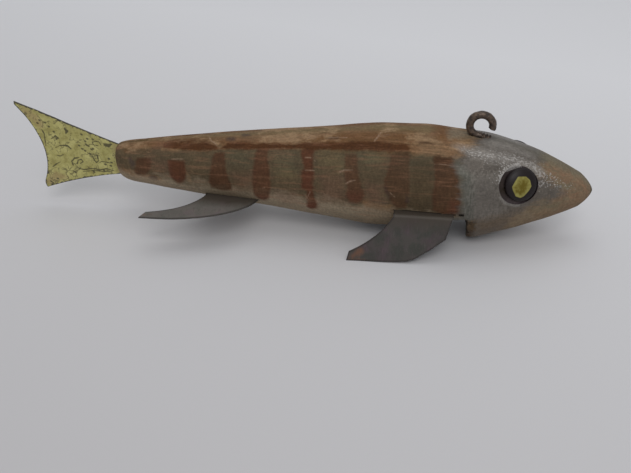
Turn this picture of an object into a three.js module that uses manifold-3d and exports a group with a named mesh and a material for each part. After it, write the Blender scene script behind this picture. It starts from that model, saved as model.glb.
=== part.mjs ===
// Carved wooden fish decoy with sheet metal fins, a wire line eye and tack eyes.
// Millimetres, +Z up, +X towards the nose. The decoy stands on its throat lip
// and on the lower edges of its two bent pectoral fins, with its axis level.
import * as THREE from "three";
import { mergeVertices } from "three/addons/utils/BufferGeometryUtils.js";
import Module from "manifold-3d";

const wasm = await Module();
wasm.setup();

// Wooden body: its length, its depth at the throat and how round it is
const bodyLength = 146.2;
const bodyDepth = 33.3;
const widthRatio = 0.92;
const sectionPower = 2.15;
const nosePower = 0.66;
const lipRub = 0.35;

// Carving stations from the tail end to the snout, each as its share of the
// body's length, then the back above the axis and the belly below it as
// shares of the body's depth
const stationRatios = [
  [0, 0.157, 0.153],
  [0.017, 0.188, 0.197],
  [0.055, 0.218, 0.222],
  [0.205, 0.305, 0.299],
  [0.41, 0.404, 0.403],
  [0.643, 0.483, 0.52],
  [0.746, 0.443, 0.557],
  [0.807, 0.405, 0.481],
  [0.876, 0.318, 0.384],
  [0.93, 0.216, 0.287],
  [0.973, 0.116, 0.198],
];

// Throat: a stop cut straight up behind the head, and the belly pared up to it
const throatStation = 109;
const throatLean = 1;
const stopCutTop = 6;
const paringLength = 36;
const paringFlatRun = 17;
const paringFlatDrop = 1.6;
const paringStartRun = 15;
const paringStartRise = 3.1;

// Metal sheet of all five fins, and the clear space round what fits in wood
const sheet = 0.4;
const clearance = 0.3;

// Tail fin, upright in a kerf sawn into the tail end, with a small heel below
const tailReach = 33;
const tailUpperTip = 18.1;
const tailTipBlunt = 1;
const tailForkReach = 21.8;
const tailForkHeight = 3.6;
const tailLowerTip = 11.7;
const tailLowerReach = 26.7;
const tailLowerHollow = 1.6;
const tailHeel = 0.9;
const tailHeelHeight = 3.4;
const tailRootHalf = 5.1;
const tailTongue = 9;

// Pectoral fins, sawn in behind the head and bent down to carry the decoy
const pectoralStation = 87.2;
const pectoralRoot = 18.2;
const pectoralSweep = 13.3;
const pectoralTip = 2.7;
const pectoralKerfDrop = 4.3;
const pectoralKerfFloor = 10;
const pectoralKerfOverrun = 1.7;
const pectoralBendOffset = 17.6;
const pectoralBendAngle = 72;
const pectoralBendRadius = 0.9;

// How its edges swing, as shares of its root, of its sweep and of its drop
const pectoralShoulderRatio = 0.97;
const pectoralFront = { root: 0.85, drop: 0.78 };
const pectoralUnder = { root: 0.41, drop: 1 };
const pectoralRear = { sweep: 0.29, drop: 0.5 };
const pectoralTipRatio = 0.95;

// Pelvic fins, left flat in kerfs below the axis
const pelvicStation = 28.4;
const pelvicRoot = 17;
const pelvicRootOffset = 8.3;
const pelvicReach = 15.6;
const pelvicSweep = 16.8;
const pelvicTip = 3.2;
const pelvicKerfDrop = 6.8;
const pelvicKerfFloor = 4;

// How its edges swing, as shares of its root, of its sweep and of its reach
const pelvicFront = { root: 0.86, reach: 0.53 };
const pelvicOuter = { root: 0.24, reach: 1.02 };
const pelvicRear = { sweep: 0.19, reach: 0.56 };
const pelvicTipRatio = 0.92;

// Line eye: one wire, screwed into the back and bent into an open ring
const lineEyeStation = 111.2;
const lineEyeAcross = 9;
const lineEyeWire = 2.3;
const lineEyeSink = 1;
const lineEyeShank = 10;
const lineEyeGapAngle = 55;

// Tack eyes, each in a round seat that is a little too large for its head
const tackStation = 123.5;
const tackAngle = 24;
const tackAcross = 10.4;
const tackRim = 0.5;
const tackDome = 1.6;
const tackShank = 8;
const tackShankAcross = 1.3;
const tackPoint = 2;
const seatPlay = 0.55;
const seatDepth = 1.5;
const seatOffset = 0.2;

// Facets
const bodySides = 44;
const bodyRings = 50;
const endCrowdingRatio = 0.1;
const noseRings = 5;
const noseCrowdingPower = 1.5;
const curveSteps = 14;
const wireSides = 12;
const ringSteps = 32;
const tackSides = 28;

// Places worked out from the sizes above
const noseStart = stationRatios[stationRatios.length - 1][0] * bodyLength;
const throatDepth = spine(throatStation + throatLean).belly;
const axisHeight = throatDepth - lipRub;
const tailFaceX = (tailReach - bodyLength) / 2;
const kerfHalf = sheet / 2 + clearance;

// A smooth line through the stations, read at one distance from the tail end
function throughStations(along, column) {
  const at = stationRatios.map((row) => row[0] * bodyLength);
  const value = stationRatios.map((row) => row[column] * bodyDepth);
  const last = at.length - 1;
  let i = 0;
  while (i < last - 1 && along > at[i + 1]) i += 1;
  const slope = (k) => {
    const low = Math.max(k - 1, 0);
    const high = Math.min(k + 1, last);
    return (value[high] - value[low]) / (at[high] - at[low]);
  };
  const span = at[i + 1] - at[i];
  const t = (along - at[i]) / span;
  const rise = value[i + 1] - value[i];
  const start = slope(i) * span;
  const end = slope(i + 1) * span;
  const square = 3 * rise - 2 * start - end;
  const cube = start + end - 2 * rise;
  return value[i] + start * t + square * t ** 2 + cube * t ** 3;
}

// Middle and half depth of the body there, rounded off over the nose
function spine(along) {
  const reach = Math.min(along, noseStart);
  const back = throughStations(reach, 1);
  const belly = throughStations(reach, 2);
  const intoNose = Math.max(0, along - noseStart) / (bodyLength - noseStart);
  const middle = (back - belly) / 2;
  const half = ((back + belly) / 2) * (1 - intoNose) ** nosePower;
  return { middle, half, back: half + middle, belly: half - middle };
}

// A point of the body's surface, the angle measured up from its side
function bodyPoint(along, angle, side) {
  const { middle, half } = spine(along);
  const bulge = (v) => Math.sign(v) * Math.abs(v) ** (2 / sectionPower);
  const across = side * widthRatio * half * bulge(Math.cos(angle));
  return new THREE.Vector3(along, across, middle + half * bulge(Math.sin(angle)));
}

// The direction in which the surface faces at that point
function bodyNormal(along, angle, side) {
  const step = 0.01;
  const ahead = bodyPoint(along + step, angle, side);
  const lengthwise = ahead.sub(bodyPoint(along - step, angle, side));
  const above = bodyPoint(along, angle + step, side);
  const around = above.sub(bodyPoint(along, angle - step, side));
  return lengthwise.cross(around).multiplyScalar(-side).normalize();
}

// Closed skin over rings of points, drawn together to a point at each end
function loft(rings, firstEnd, lastEnd) {
  const sides = rings[0].length;
  const points = [firstEnd, ...rings.flat(), lastEnd];
  const lastRing = 1 + (rings.length - 1) * sides;
  const faces = [];
  for (let k = 0; k < sides; k += 1) {
    const next = (k + 1) % sides;
    faces.push(0, 1 + next, 1 + k);
    for (let a = 1; a < lastRing; a += sides) {
      const b = a + sides;
      faces.push(a + k, b + next, b + k);
      faces.push(a + k, a + next, b + next);
    }
    faces.push(points.length - 1, lastRing + k, lastRing + next);
  }
  return new THREE.BufferGeometry().setFromPoints(points).setIndex(faces);
}

function toSolid(geometry) {
  const bare = geometry.clone();
  bare.deleteAttribute("normal");
  bare.deleteAttribute("uv");
  const merged = mergeVertices(bare, 1e-4);
  const mesh = new wasm.Mesh({
    numProp: 3,
    vertProperties: merged.attributes.position.array,
    triVerts: new Uint32Array(merged.index.array),
  });
  return new wasm.Manifold(mesh);
}

function toGeometry(solid) {
  const mesh = solid.getMesh();
  const position = new THREE.BufferAttribute(mesh.vertProperties, 3);
  const geometry = new THREE.BufferGeometry().setAttribute("position", position);
  geometry.setIndex(new THREE.BufferAttribute(mesh.triVerts, 1));
  geometry.computeVertexNormals();
  return geometry;
}

// An outline in the upright X and Z plane, made a slab between two Y values
function uprightSlab(shape, fromY, toY) {
  const slab = new THREE.ExtrudeGeometry(shape, {
    depth: toY - fromY,
    bevelEnabled: false,
    curveSegments: curveSteps,
  });
  return slab.rotateX(Math.PI / 2).translate(0, toY, 0);
}

// A box between two corners
function block(low, high) {
  const size = new THREE.Vector3().subVectors(high, low);
  const middle = new THREE.Vector3().addVectors(low, high).multiplyScalar(0.5);
  const box = new THREE.BoxGeometry(size.x, size.y, size.z);
  return box.translate(middle.x, middle.y, middle.z);
}

// A regular outline with its corners on a circle
function roundOutline(radius, sides) {
  const corners = [];
  for (let k = 0; k < sides; k += 1) {
    const angle = (2 * Math.PI * k) / sides;
    corners.push(new THREE.Vector2(radius * Math.cos(angle), radius * Math.sin(angle)));
  }
  return new THREE.Shape(corners);
}

// The whittled spindle before anything is cut into it
function spindleGeometry() {
  const places = [];
  for (let k = 0; k <= bodyRings; k += 1) {
    const t = k / bodyRings;
    places.push(noseStart * (t - endCrowdingRatio * Math.sin(2 * Math.PI * t)));
  }
  for (let k = 1; k < noseRings; k += 1) {
    const left = (1 - k / noseRings) ** noseCrowdingPower;
    places.push(bodyLength - (bodyLength - noseStart) * left);
  }
  const rings = places.map((along) => {
    const ring = [];
    for (let k = 0; k < bodySides; k += 1) {
      ring.push(bodyPoint(along, (2 * Math.PI * k) / bodySides, 1));
    }
    return ring;
  });
  const tailEnd = new THREE.Vector3(0, 0, spine(0).middle);
  const noseTip = new THREE.Vector3(bodyLength, 0, spine(bodyLength).middle);
  return loft(rings, tailEnd, noseTip);
}

// The wood pared away below the belly, up to the stop cut behind the head
function throatCutter() {
  const start = throatStation - paringLength;
  const startDrop = spine(start).belly;
  const shape = new THREE.Shape();
  shape.moveTo(throatStation, -stopCutTop);
  shape.bezierCurveTo(
    throatStation - paringFlatRun,
    -stopCutTop - paringFlatDrop,
    start + paringStartRun,
    paringStartRise - startDrop,
    start,
    -startDrop,
  );
  shape.lineTo(start, -bodyDepth);
  shape.lineTo(throatStation + throatLean, -bodyDepth);
  shape.lineTo(throatStation + throatLean, -throatDepth);
  shape.closePath();
  return uprightSlab(shape, -bodyDepth, bodyDepth);
}

// The kerf of one side fin, open on the side given
function sideKerf(station, length, floor, drop, side) {
  const corner = (x, y, z) => new THREE.Vector3(x, y, z);
  const inner = side * floor;
  const outer = side * bodyDepth;
  return block(
    corner(station - clearance, Math.min(inner, outer), -drop - kerfHalf),
    corner(station + length + clearance, Math.max(inner, outer), kerfHalf - drop),
  );
}

function tailKerf() {
  const low = new THREE.Vector3(-tailTongue, -kerfHalf, -bodyDepth);
  return block(low, new THREE.Vector3(tailTongue, kerfHalf, bodyDepth));
}

// The plane that the throat lip is rubbed down to
function tableCutter() {
  const low = new THREE.Vector3(0, -bodyDepth, -bodyDepth);
  return block(low, new THREE.Vector3(bodyLength, bodyDepth, -axisHeight));
}

// Ring and shank of the line eye, or with play the hole that they press
function lineEyeSolid(play) {
  const radius = (lineEyeAcross - lineEyeWire) / 2;
  const thickness = lineEyeWire / 2 + play;
  const surface = spine(lineEyeStation).back;
  const centre = surface - lineEyeSink + lineEyeAcross / 2;
  // The ring starts a quarter of the wire past its lowest point, inside the shank
  const overlap = lineEyeWire / radius / 4;
  const sweep = 2 * Math.PI - THREE.MathUtils.degToRad(lineEyeGapAngle) + overlap;
  const route = [];
  for (let k = 0; k <= ringSteps; k += 1) {
    const angle = overlap - Math.PI / 2 - (sweep * k) / ringSteps;
    const x = lineEyeStation + radius * Math.cos(angle);
    route.push(new THREE.Vector3(x, 0, centre + radius * Math.sin(angle)));
  }
  const ring = new THREE.ExtrudeGeometry(roundOutline(thickness, wireSides), {
    steps: ringSteps,
    extrudePath: new THREE.CatmullRomCurve3(route),
    bevelEnabled: false,
  });
  const top = centre - radius;
  const bottom = surface - lineEyeShank - play;
  const shank = new THREE.CylinderGeometry(thickness, thickness, top - bottom, wireSides);
  shank.rotateX(Math.PI / 2).translate(lineEyeStation, 0, (top + bottom) / 2);
  return toSolid(ring).add(toSolid(shank));
}

// Where one tack eye is driven in, which way it faces and which way is rearward
function tackPlace(side) {
  const angle = THREE.MathUtils.degToRad(tackAngle);
  const point = bodyPoint(tackStation, angle, side);
  const normal = bodyNormal(tackStation, angle, side);
  const rearward = new THREE.Vector3(-1, 0, 0).projectOnPlane(normal).normalize();
  const turn = new THREE.Quaternion().setFromUnitVectors(new THREE.Vector3(0, 1, 0), normal);
  return { point, normal, rearward, turn };
}

// The tack's seat and the hole of its shank
function tackCutters(side) {
  const { point, normal, rearward, turn } = tackPlace(side);
  const seatRadius = tackAcross / 2 + seatPlay;
  const seat = new THREE.CylinderGeometry(seatRadius, seatRadius, 2 * seatDepth, tackSides);
  seat.applyQuaternion(turn);
  const seatCentre = point.clone().addScaledVector(rearward, seatOffset);
  seat.translate(seatCentre.x, seatCentre.y, seatCentre.z);
  const holeRadius = tackShankAcross / 2 + clearance;
  const holeDepth = seatDepth + tackShank;
  const hole = new THREE.CylinderGeometry(holeRadius, holeRadius, holeDepth, tackSides);
  hole.translate(0, -holeDepth / 2, 0).applyQuaternion(turn);
  hole.translate(point.x, point.y, point.z);
  return [seat, hole];
}

function bodyGeometry() {
  const cutters = [throatCutter(), tableCutter(), tailKerf()];
  for (const side of [-1, 1]) {
    const kerfLength = pectoralRoot + pectoralKerfOverrun;
    cutters.push(
      sideKerf(pectoralStation, kerfLength, pectoralKerfFloor, pectoralKerfDrop, side),
      sideKerf(pelvicStation, pelvicRoot, pelvicKerfFloor, pelvicKerfDrop, side),
      ...tackCutters(side),
    );
  }
  let body = toSolid(spindleGeometry()).subtract(lineEyeSolid(clearance));
  for (const cutter of cutters) body = body.subtract(toSolid(cutter));
  return toGeometry(body);
}

// Tail fin: a raked upper lobe, a hollow trailing edge and a short lower lobe
function tailFinGeometry() {
  const shape = new THREE.Shape();
  const tongueEnd = tailTongue - clearance;
  shape.moveTo(tongueEnd, tailRootHalf);
  shape.lineTo(0, tailRootHalf);
  shape.lineTo(-tailReach, tailUpperTip);
  shape.lineTo(-tailReach, tailUpperTip - tailTipBlunt);
  const heelTop = tailHeelHeight - tailLowerTip;
  shape.quadraticCurveTo(-tailForkReach, tailForkHeight, -tailLowerReach, heelTop);
  const heelX = -tailLowerReach - tailHeel;
  const heelZ = tailHeelHeight / 2 - tailLowerTip;
  shape.quadraticCurveTo(heelX, heelZ, -tailLowerReach, -tailLowerTip);
  const hollowX = -tailLowerReach / 2;
  const hollowZ = tailLowerHollow - (tailRootHalf + tailLowerTip) / 2;
  shape.quadraticCurveTo(hollowX, hollowZ, 0, -tailRootHalf);
  shape.lineTo(tongueEnd, -tailRootHalf);
  shape.closePath();
  return uprightSlab(shape, -sheet / 2, sheet / 2);
}

// One pectoral fin: a sheet bent over a short ledge, cut to its outline
function pectoralFinGeometry() {
  const bend = THREE.MathUtils.degToRad(pectoralBendAngle);
  const top = sheet / 2 - pectoralKerfDrop;
  const outer = pectoralBendRadius + sheet / 2;
  const inner = pectoralBendRadius - sheet / 2;
  const centreZ = top - outer;
  const bendStart = pectoralBendOffset - pectoralBendRadius;
  const legLength = axisHeight;
  const legPoint = (radius, length) => [
    bendStart + radius * Math.sin(bend) + length * Math.cos(bend),
    centreZ + radius * Math.cos(bend) - length * Math.sin(bend),
  ];
  const section = new THREE.Shape();
  section.moveTo(pectoralKerfFloor + clearance, top);
  section.lineTo(bendStart, top);
  section.absarc(bendStart, centreZ, outer, Math.PI / 2, Math.PI / 2 - bend, true);
  section.lineTo(...legPoint(outer, legLength));
  section.lineTo(...legPoint(inner, legLength));
  section.absarc(bendStart, centreZ, inner, Math.PI / 2 - bend, Math.PI / 2, false);
  section.lineTo(pectoralKerfFloor + clearance, top - sheet);
  section.closePath();
  const length = pectoralSweep + pectoralRoot;
  const strip = new THREE.ExtrudeGeometry(section, {
    depth: 2 * length,
    bevelEnabled: false,
    curveSegments: curveSteps / 2,
  });
  const yToX = new THREE.Matrix4().makeBasis(
    new THREE.Vector3(0, 1, 0),
    new THREE.Vector3(0, 0, 1),
    new THREE.Vector3(1, 0, 0),
  );
  strip.applyMatrix4(yToX).translate(pectoralStation - length, 0, 0);

  const drop = axisHeight - pectoralKerfDrop;
  const outline = new THREE.Shape();
  outline.moveTo(0, sheet);
  outline.lineTo(pectoralRoot, sheet);
  outline.lineTo(pectoralShoulderRatio * pectoralRoot, -sheet);
  outline.bezierCurveTo(
    pectoralFront.root * pectoralRoot,
    -pectoralFront.drop * drop,
    pectoralUnder.root * pectoralRoot,
    -pectoralUnder.drop * drop,
    -pectoralSweep,
    -drop,
  );
  outline.lineTo(-pectoralTipRatio * pectoralSweep, pectoralTip - drop);
  const rear = pectoralRear;
  outline.quadraticCurveTo(-rear.sweep * pectoralSweep, -rear.drop * drop, 0, -sheet);
  outline.closePath();
  const slab = uprightSlab(outline, 0, 2 * bodyDepth);
  slab.translate(pectoralStation, 0, -pectoralKerfDrop);
  return toGeometry(toSolid(strip).intersect(toSolid(slab)));
}

// One pelvic fin: a flat sheet with a swept, blunt tip and a tongue in its kerf
function pelvicFinGeometry() {
  const edge = pelvicRootOffset + pelvicReach;
  const tongueEnd = pelvicKerfFloor + clearance;
  const shape = new THREE.Shape();
  shape.moveTo(0, tongueEnd);
  shape.lineTo(pelvicRoot, tongueEnd);
  shape.lineTo(pelvicRoot, pelvicRootOffset);
  shape.bezierCurveTo(
    pelvicFront.root * pelvicRoot,
    pelvicRootOffset + pelvicFront.reach * pelvicReach,
    pelvicOuter.root * pelvicRoot,
    pelvicRootOffset + pelvicOuter.reach * pelvicReach,
    -pelvicSweep,
    edge,
  );
  shape.lineTo(-pelvicTipRatio * pelvicSweep, edge - pelvicTip);
  const hollow = pelvicRootOffset + pelvicRear.reach * pelvicReach;
  shape.quadraticCurveTo(-pelvicRear.sweep * pelvicSweep, hollow, 0, pelvicRootOffset);
  shape.closePath();
  const fin = new THREE.ExtrudeGeometry(shape, {
    depth: sheet,
    bevelEnabled: false,
    curveSegments: curveSteps,
  });
  return fin.translate(pelvicStation, 0, -pelvicKerfDrop - sheet / 2);
}

// One tack: a domed head with a thin rim on a tapered shank, along its own Y
function tackGeometry() {
  const radius = tackAcross / 2;
  const shankRadius = tackShankAcross / 2;
  const profile = [
    new THREE.Vector2(0, -tackShank),
    new THREE.Vector2(shankRadius, tackPoint - tackShank),
    new THREE.Vector2(shankRadius, 0),
    new THREE.Vector2(radius, 0),
    new THREE.Vector2(radius, tackRim),
  ];
  const domeSteps = curveSteps / 2;
  for (let k = 1; k <= domeSteps; k += 1) {
    const turn = (Math.PI / 2) * (k / domeSteps);
    const out = k === domeSteps ? 0 : radius * Math.cos(turn);
    profile.push(new THREE.Vector2(out, tackRim + tackDome * Math.sin(turn)));
  }
  return new THREE.LatheGeometry(profile, tackSides);
}

// Finishes
const agedPaint = { color: 0x6b5a43, roughness: 0.75, metalness: 0 };
const yellowPaint = { color: 0xa39b52, roughness: 0.55, metalness: 0.2 };
const darkPaint = { color: 0x4c4844, roughness: 0.6, metalness: 0.3 };
const rustyWire = { color: 0x3a2f29, roughness: 0.55, metalness: 0.8 };
const blackEnamel = { color: 0x2a2528, roughness: 0.35, metalness: 0.2 };

// The pieces, measured along the body from its tail end and from its axis
const decoy = new THREE.Group();
decoy.position.set(tailFaceX, 0, axisHeight);

function addPiece(name, geometry, finish) {
  const mesh = new THREE.Mesh(geometry, new THREE.MeshStandardMaterial(finish));
  mesh.name = name;
  decoy.add(mesh);
  return mesh;
}

addPiece("body", bodyGeometry(), agedPaint);
addPiece("tail_fin", tailFinGeometry(), yellowPaint);
addPiece("line_eye", toGeometry(lineEyeSolid(0)), rustyWire);
for (const [hand, side] of [["right", -1], ["left", 1]]) {
  addPiece("pectoral_fin_" + hand, pectoralFinGeometry(), darkPaint).scale.y = side;
  addPiece("pelvic_fin_" + hand, pelvicFinGeometry(), darkPaint).scale.y = side;
  const tack = addPiece("eye_tack_" + hand, tackGeometry(), blackEnamel);
  const { point, normal, turn } = tackPlace(side);
  tack.quaternion.copy(turn);
  tack.position.copy(point).addScaledVector(normal, clearance - seatDepth);
}

const standing = new THREE.Group();
standing.add(decoy);

export default standing;
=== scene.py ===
# Carved fish decoy: a whittled and painted body, tin fins, a wire line eye and tack eyes
import math

import bpy
import numpy as np
from mathutils import Matrix, Vector, noise


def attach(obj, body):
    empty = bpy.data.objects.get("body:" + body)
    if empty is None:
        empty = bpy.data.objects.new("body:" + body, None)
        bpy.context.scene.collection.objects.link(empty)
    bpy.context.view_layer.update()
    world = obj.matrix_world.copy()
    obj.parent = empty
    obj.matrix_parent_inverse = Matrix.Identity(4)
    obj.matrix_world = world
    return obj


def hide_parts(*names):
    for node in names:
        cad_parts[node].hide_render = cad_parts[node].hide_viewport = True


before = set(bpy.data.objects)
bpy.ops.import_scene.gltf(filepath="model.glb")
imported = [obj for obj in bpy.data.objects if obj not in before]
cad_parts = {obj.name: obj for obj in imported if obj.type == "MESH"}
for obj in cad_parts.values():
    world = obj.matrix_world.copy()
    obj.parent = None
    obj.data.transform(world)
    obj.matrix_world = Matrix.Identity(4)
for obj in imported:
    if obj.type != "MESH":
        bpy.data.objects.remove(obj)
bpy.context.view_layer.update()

# Sizes in millimetres, measured along the body from its tail end and up from its axis
# Stations: share of the length, and heights of the back and the belly as shares of the depth
body_length = 146.2
body_depth = 33.3
width_ratio = 0.92
section_power = 2.15
nose_power = 0.66
lip_rub = 0.35
carving_stations = [
    (0, 0.157, 0.153), (0.017, 0.188, 0.197), (0.055, 0.218, 0.222), (0.205, 0.305, 0.299),
    (0.41, 0.404, 0.403), (0.643, 0.483, 0.52), (0.746, 0.443, 0.557), (0.807, 0.405, 0.481),
    (0.876, 0.318, 0.384), (0.93, 0.216, 0.287), (0.973, 0.116, 0.198),
]
tail_reach = 33
throat_station = 109
throat_lean = 1
stop_cut_top = 6
sheet = 0.4
kerf_half = 0.27
clearance = 0.3
millimetre = 0.001


def through_stations(along, column):
    """A smooth line through the carving stations"""
    at = [row[0] * body_length for row in carving_stations]
    value = [row[column] * body_depth for row in carving_stations]
    last = len(at) - 1
    i = 0
    while i < last - 1 and along > at[i + 1]:
        i += 1

    def slope(k):
        low, high = max(k - 1, 0), min(k + 1, last)
        return (value[high] - value[low]) / (at[high] - at[low])

    span = at[i + 1] - at[i]
    t = (along - at[i]) / span
    rise = value[i + 1] - value[i]
    start, end = slope(i) * span, slope(i + 1) * span
    square, cube = 3 * rise - 2 * start - end, start + end - 2 * rise
    return value[i] + start * t + square * t ** 2 + cube * t ** 3


def spine(along):
    """Middle and half depth of the body at one place along it"""
    nose_start = carving_stations[-1][0] * body_length
    reach = min(along, nose_start)
    back, belly = through_stations(reach, 1), through_stations(reach, 2)
    into_nose = min(max(0, along - nose_start) / (body_length - nose_start), 1)
    return (back - belly) / 2, (back + belly) / 2 * (1 - into_nose) ** nose_power


def bulge(value):
    return math.copysign(abs(value) ** (2 / section_power), value)


def body_point(along, angle, side):
    middle, half = spine(along)
    across = side * width_ratio * half * bulge(math.cos(angle))
    return Vector((along, across, middle + half * bulge(math.sin(angle))))


def body_normal(along, angle, side):
    step = 0.01
    lengthwise = body_point(along + step, angle, side) - body_point(along - step, angle, side)
    around = body_point(along, angle + step, side) - body_point(along, angle - step, side)
    return (lengthwise.cross(around) * -side).normalized()


throat_middle, throat_half = spine(throat_station + throat_lean)
axis_height = throat_half - throat_middle - lip_rub
tail_face = (tail_reach - body_length) / 2
to_row_frame = Matrix.Scale(millimetre, 4) @ Matrix.Translation((tail_face, 0, axis_height))


# Working with pieces
def alone(piece):
    """Makes one piece the only selected and the active one"""
    bpy.ops.object.select_all(action="DESELECT")
    piece.select_set(True)
    bpy.context.view_layer.objects.active = piece


def started(primitive, name=None, **settings):
    """A new primitive, with nothing else selected"""
    bpy.ops.object.select_all(action="DESELECT")
    primitive(**settings)
    piece = bpy.context.object
    if name:
        piece.name = name
        piece.data.name = name
    return piece


def edit(piece, chosen="SELECT"):
    """Opens a piece in edit mode with all of it selected, or none"""
    alone(piece)
    bpy.ops.object.mode_set(mode="EDIT")
    bpy.ops.mesh.select_all(action=chosen)


def done():
    """Closes the open piece"""
    bpy.ops.object.mode_set(mode="OBJECT")


def turn_outward():
    """Turns the faces of the open piece outwards and closes it"""
    bpy.ops.mesh.select_all(action="SELECT")
    bpy.ops.mesh.normals_make_consistent(inside=False)
    done()


def edit_edges(piece, wanted):
    """Opens a piece in edit mode with only the wanted edges selected"""
    edit(piece, "DESELECT")
    bpy.ops.mesh.select_mode(type="EDGE")
    done()
    for edge in piece.data.edges:
        edge.select = wanted(edge)
    bpy.ops.object.mode_set(mode="EDIT")


def finish(piece, kind, **settings):
    """Adds one modifier and applies it"""
    alone(piece)
    bpy.ops.object.modifier_add(type=kind)
    modifier = piece.modifiers[-1]
    for name, value in settings.items():
        setattr(modifier, name, value)
    bpy.ops.object.modifier_apply(modifier=modifier.name)


def combine(piece, other, operation):
    finish(piece, "BOOLEAN", operation=operation, solver="MANIFOLD", object=other)
    bpy.data.objects.remove(other)


def cut_away(piece, cutter):
    combine(piece, cutter, "DIFFERENCE")


def block(low, high):
    """A squared block between two corners"""
    low, high = Vector(low), Vector(high)
    piece = started(bpy.ops.mesh.primitive_cube_add, size=1, location=(low + high) / 2, scale=high - low)
    bpy.ops.object.transform_apply(location=True, rotation=True, scale=True)
    return piece


def plate(outline, y_from, y_to):
    """A flat outline in the upright plane, extruded across the fish"""
    piece = started(bpy.ops.mesh.primitive_circle_add, vertices=len(outline), radius=1, fill_type="NGON")
    for vertex, (x, z) in zip(piece.data.vertices, outline):
        vertex.co = (x, y_from, z)
    edit(piece)
    bpy.ops.mesh.extrude_region_move(TRANSFORM_OT_translate={"value": (0, y_to - y_from, 0)})
    turn_outward()
    return piece


def curve_point(points, t):
    """A point on a curve of any number of control points"""
    points = [Vector(p) for p in points]
    while len(points) > 1:
        points = [a.lerp(b, t) for a, b in zip(points, points[1:])]
    return points[0]


def facings(piece):
    """The direction that each point of a piece faces, read before any point moves"""
    return [vertex.normal.copy() for vertex in piece.data.vertices]


def numbers(piece, kind="co"):
    """Where the points of a piece lie, or which way they face, as rows of numbers"""
    flat = np.empty(len(piece.data.vertices) * 3, dtype=np.float32)
    piece.data.vertices.foreach_get(kind, flat)
    return flat.reshape(-1, 3).astype(float)


def rough(place, size, seed=0.0):
    """Smooth noise from -1 to 1 with lumps of the given size"""
    return noise.noise(Vector(place) / size + Vector((seed, seed * 1.7, -seed)))


# Body: one ring drawn out along the fish, then smoothed
body_sides, ring_count, nose_ring_count, nose_begin = 60, 76, 14, 139
body_rings = [(0, 0.86), (0, 0.93), (0.25, 0.985), (0.9, 1)]
for k in range(1, ring_count + 1):
    body_rings.append((0.9 + (nose_begin - 0.9) * k / ring_count, 1))
for k in range(1, nose_ring_count + 1):
    left = (1 - k / (nose_ring_count + 0.35)) ** 1.9
    body_rings.append((body_length - (body_length - nose_begin) * left, 1))
body = started(bpy.ops.mesh.primitive_circle_add, "carved_body", vertices=body_sides, radius=1,
               fill_type="NGON")
ring_middle, ring_half = spine(0)
ring_half *= body_rings[0][1]
for k, vertex in enumerate(body.data.vertices):
    turn = 2 * math.pi * k / body_sides
    across = width_ratio * bulge(math.cos(turn)) * ring_half
    vertex.co = (0, across, ring_middle + bulge(math.sin(turn)) * ring_half)
edit(body)
for (before, _), (along, shrink) in zip(body_rings, body_rings[1:]):
    middle, half = spine(along)
    half *= shrink
    step = (along - before, 0, middle - ring_middle)
    bpy.ops.mesh.extrude_region_move(TRANSFORM_OT_translate={"value": step})
    ratio = half / ring_half
    bpy.ops.transform.resize(value=(1, ratio, ratio), center_override=(along, 0, middle))
    ring_middle, ring_half = middle, half
turn_outward()
finish(body, "SUBSURF", levels=2, render_levels=2)

# The tail end is sawn aslant, and the back is fullest ahead of its middle
tail_slant, slant_reach = 1.15, 7
for vertex in body.data.vertices:
    x, y, z = vertex.co
    if x < slant_reach:
        vertex.co.x -= tail_slant * min(1, max(0, (z + 3) / 8)) * (1 - x / slant_reach)
    if z > 0:
        fullness = 0.5 * math.exp(-((x - 79) / 10) ** 2) + 0.28 * math.exp(-((x - 114) / 5) ** 2)
        vertex.co.z += fullness * min(1, z / 10)

# Knife work: shallow flats left by the blade, long along the grain
flat_length, flat_width, flat_depth = 17, 6.5, 0.2
for vertex, facing in zip(body.data.vertices, facings(body)):
    x, y, z = vertex.co
    stretched = Vector((x / flat_length, y / flat_width, z / flat_width))
    gaps = noise.voronoi(stretched)[0]
    ridge = min(1, (gaps[1] - gaps[0]) * 1.6)
    sink = flat_depth * ridge * ridge + 0.1 * (1 + rough((x * 0.4, y, z), 4, 3.0))
    ends = min(1, max(0, (body_length - x) / 6)) * min(1, max(0, x / 3))
    vertex.co = vertex.co - facing * sink * ends

# Throat: a stop cut behind the head and the belly pared up to it, with torn fibres
pare_start, pare_steps, wall_steps = 73, 60, 16
start_middle, start_half = spine(pare_start)
start_drop = start_half - start_middle
pare_curve = [(109, -6), (92, -7.6), (88, 3.1 - start_drop), (73, -start_drop)]
outline = [tuple(curve_point([(a, b, 0) for a, b in pare_curve], k / pare_steps))[:2]
           for k in range(pare_steps + 1)]
outline += [(pare_start, -body_depth), (throat_station + throat_lean, -body_depth)]
wall_low = throat_middle - throat_half
for k in range(wall_steps):
    t = k / wall_steps
    outline.append((throat_station + throat_lean * (1 - t), wall_low * (1 - t) - stop_cut_top * t))
cutter = plate(outline, -body_depth / 2 - 2, body_depth / 2 + 2)


def crosswise(edge):
    start, end = (cutter.data.vertices[i].co for i in edge.vertices)
    return abs(start.y - end.y) > 1


edit_edges(cutter, crosswise)
bpy.ops.mesh.subdivide(number_cuts=64)
done()
for vertex in cutter.data.vertices:
    x, y, z = vertex.co
    if z < -body_depth + 1:
        continue
    if x > throat_station - 0.01:
        vertex.co.x += 0.35 * rough((x, y, z * 0.5), 2.4, 1.0) + 0.12 * rough((x, y, z), 0.9, 2.0)
    else:
        vertex.co.z += 0.28 * rough((x * 0.25, y, z), 2.6, 5.0) + 0.12 * rough((x * 0.3, y, z), 0.9, 7.0)
cut_away(body, cutter)

# Lip rubbed flat where the decoy stands on it
under_table = (0, -30, -40), (body_length, 30, -axis_height)
cut_away(body, block(*under_table))

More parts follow.
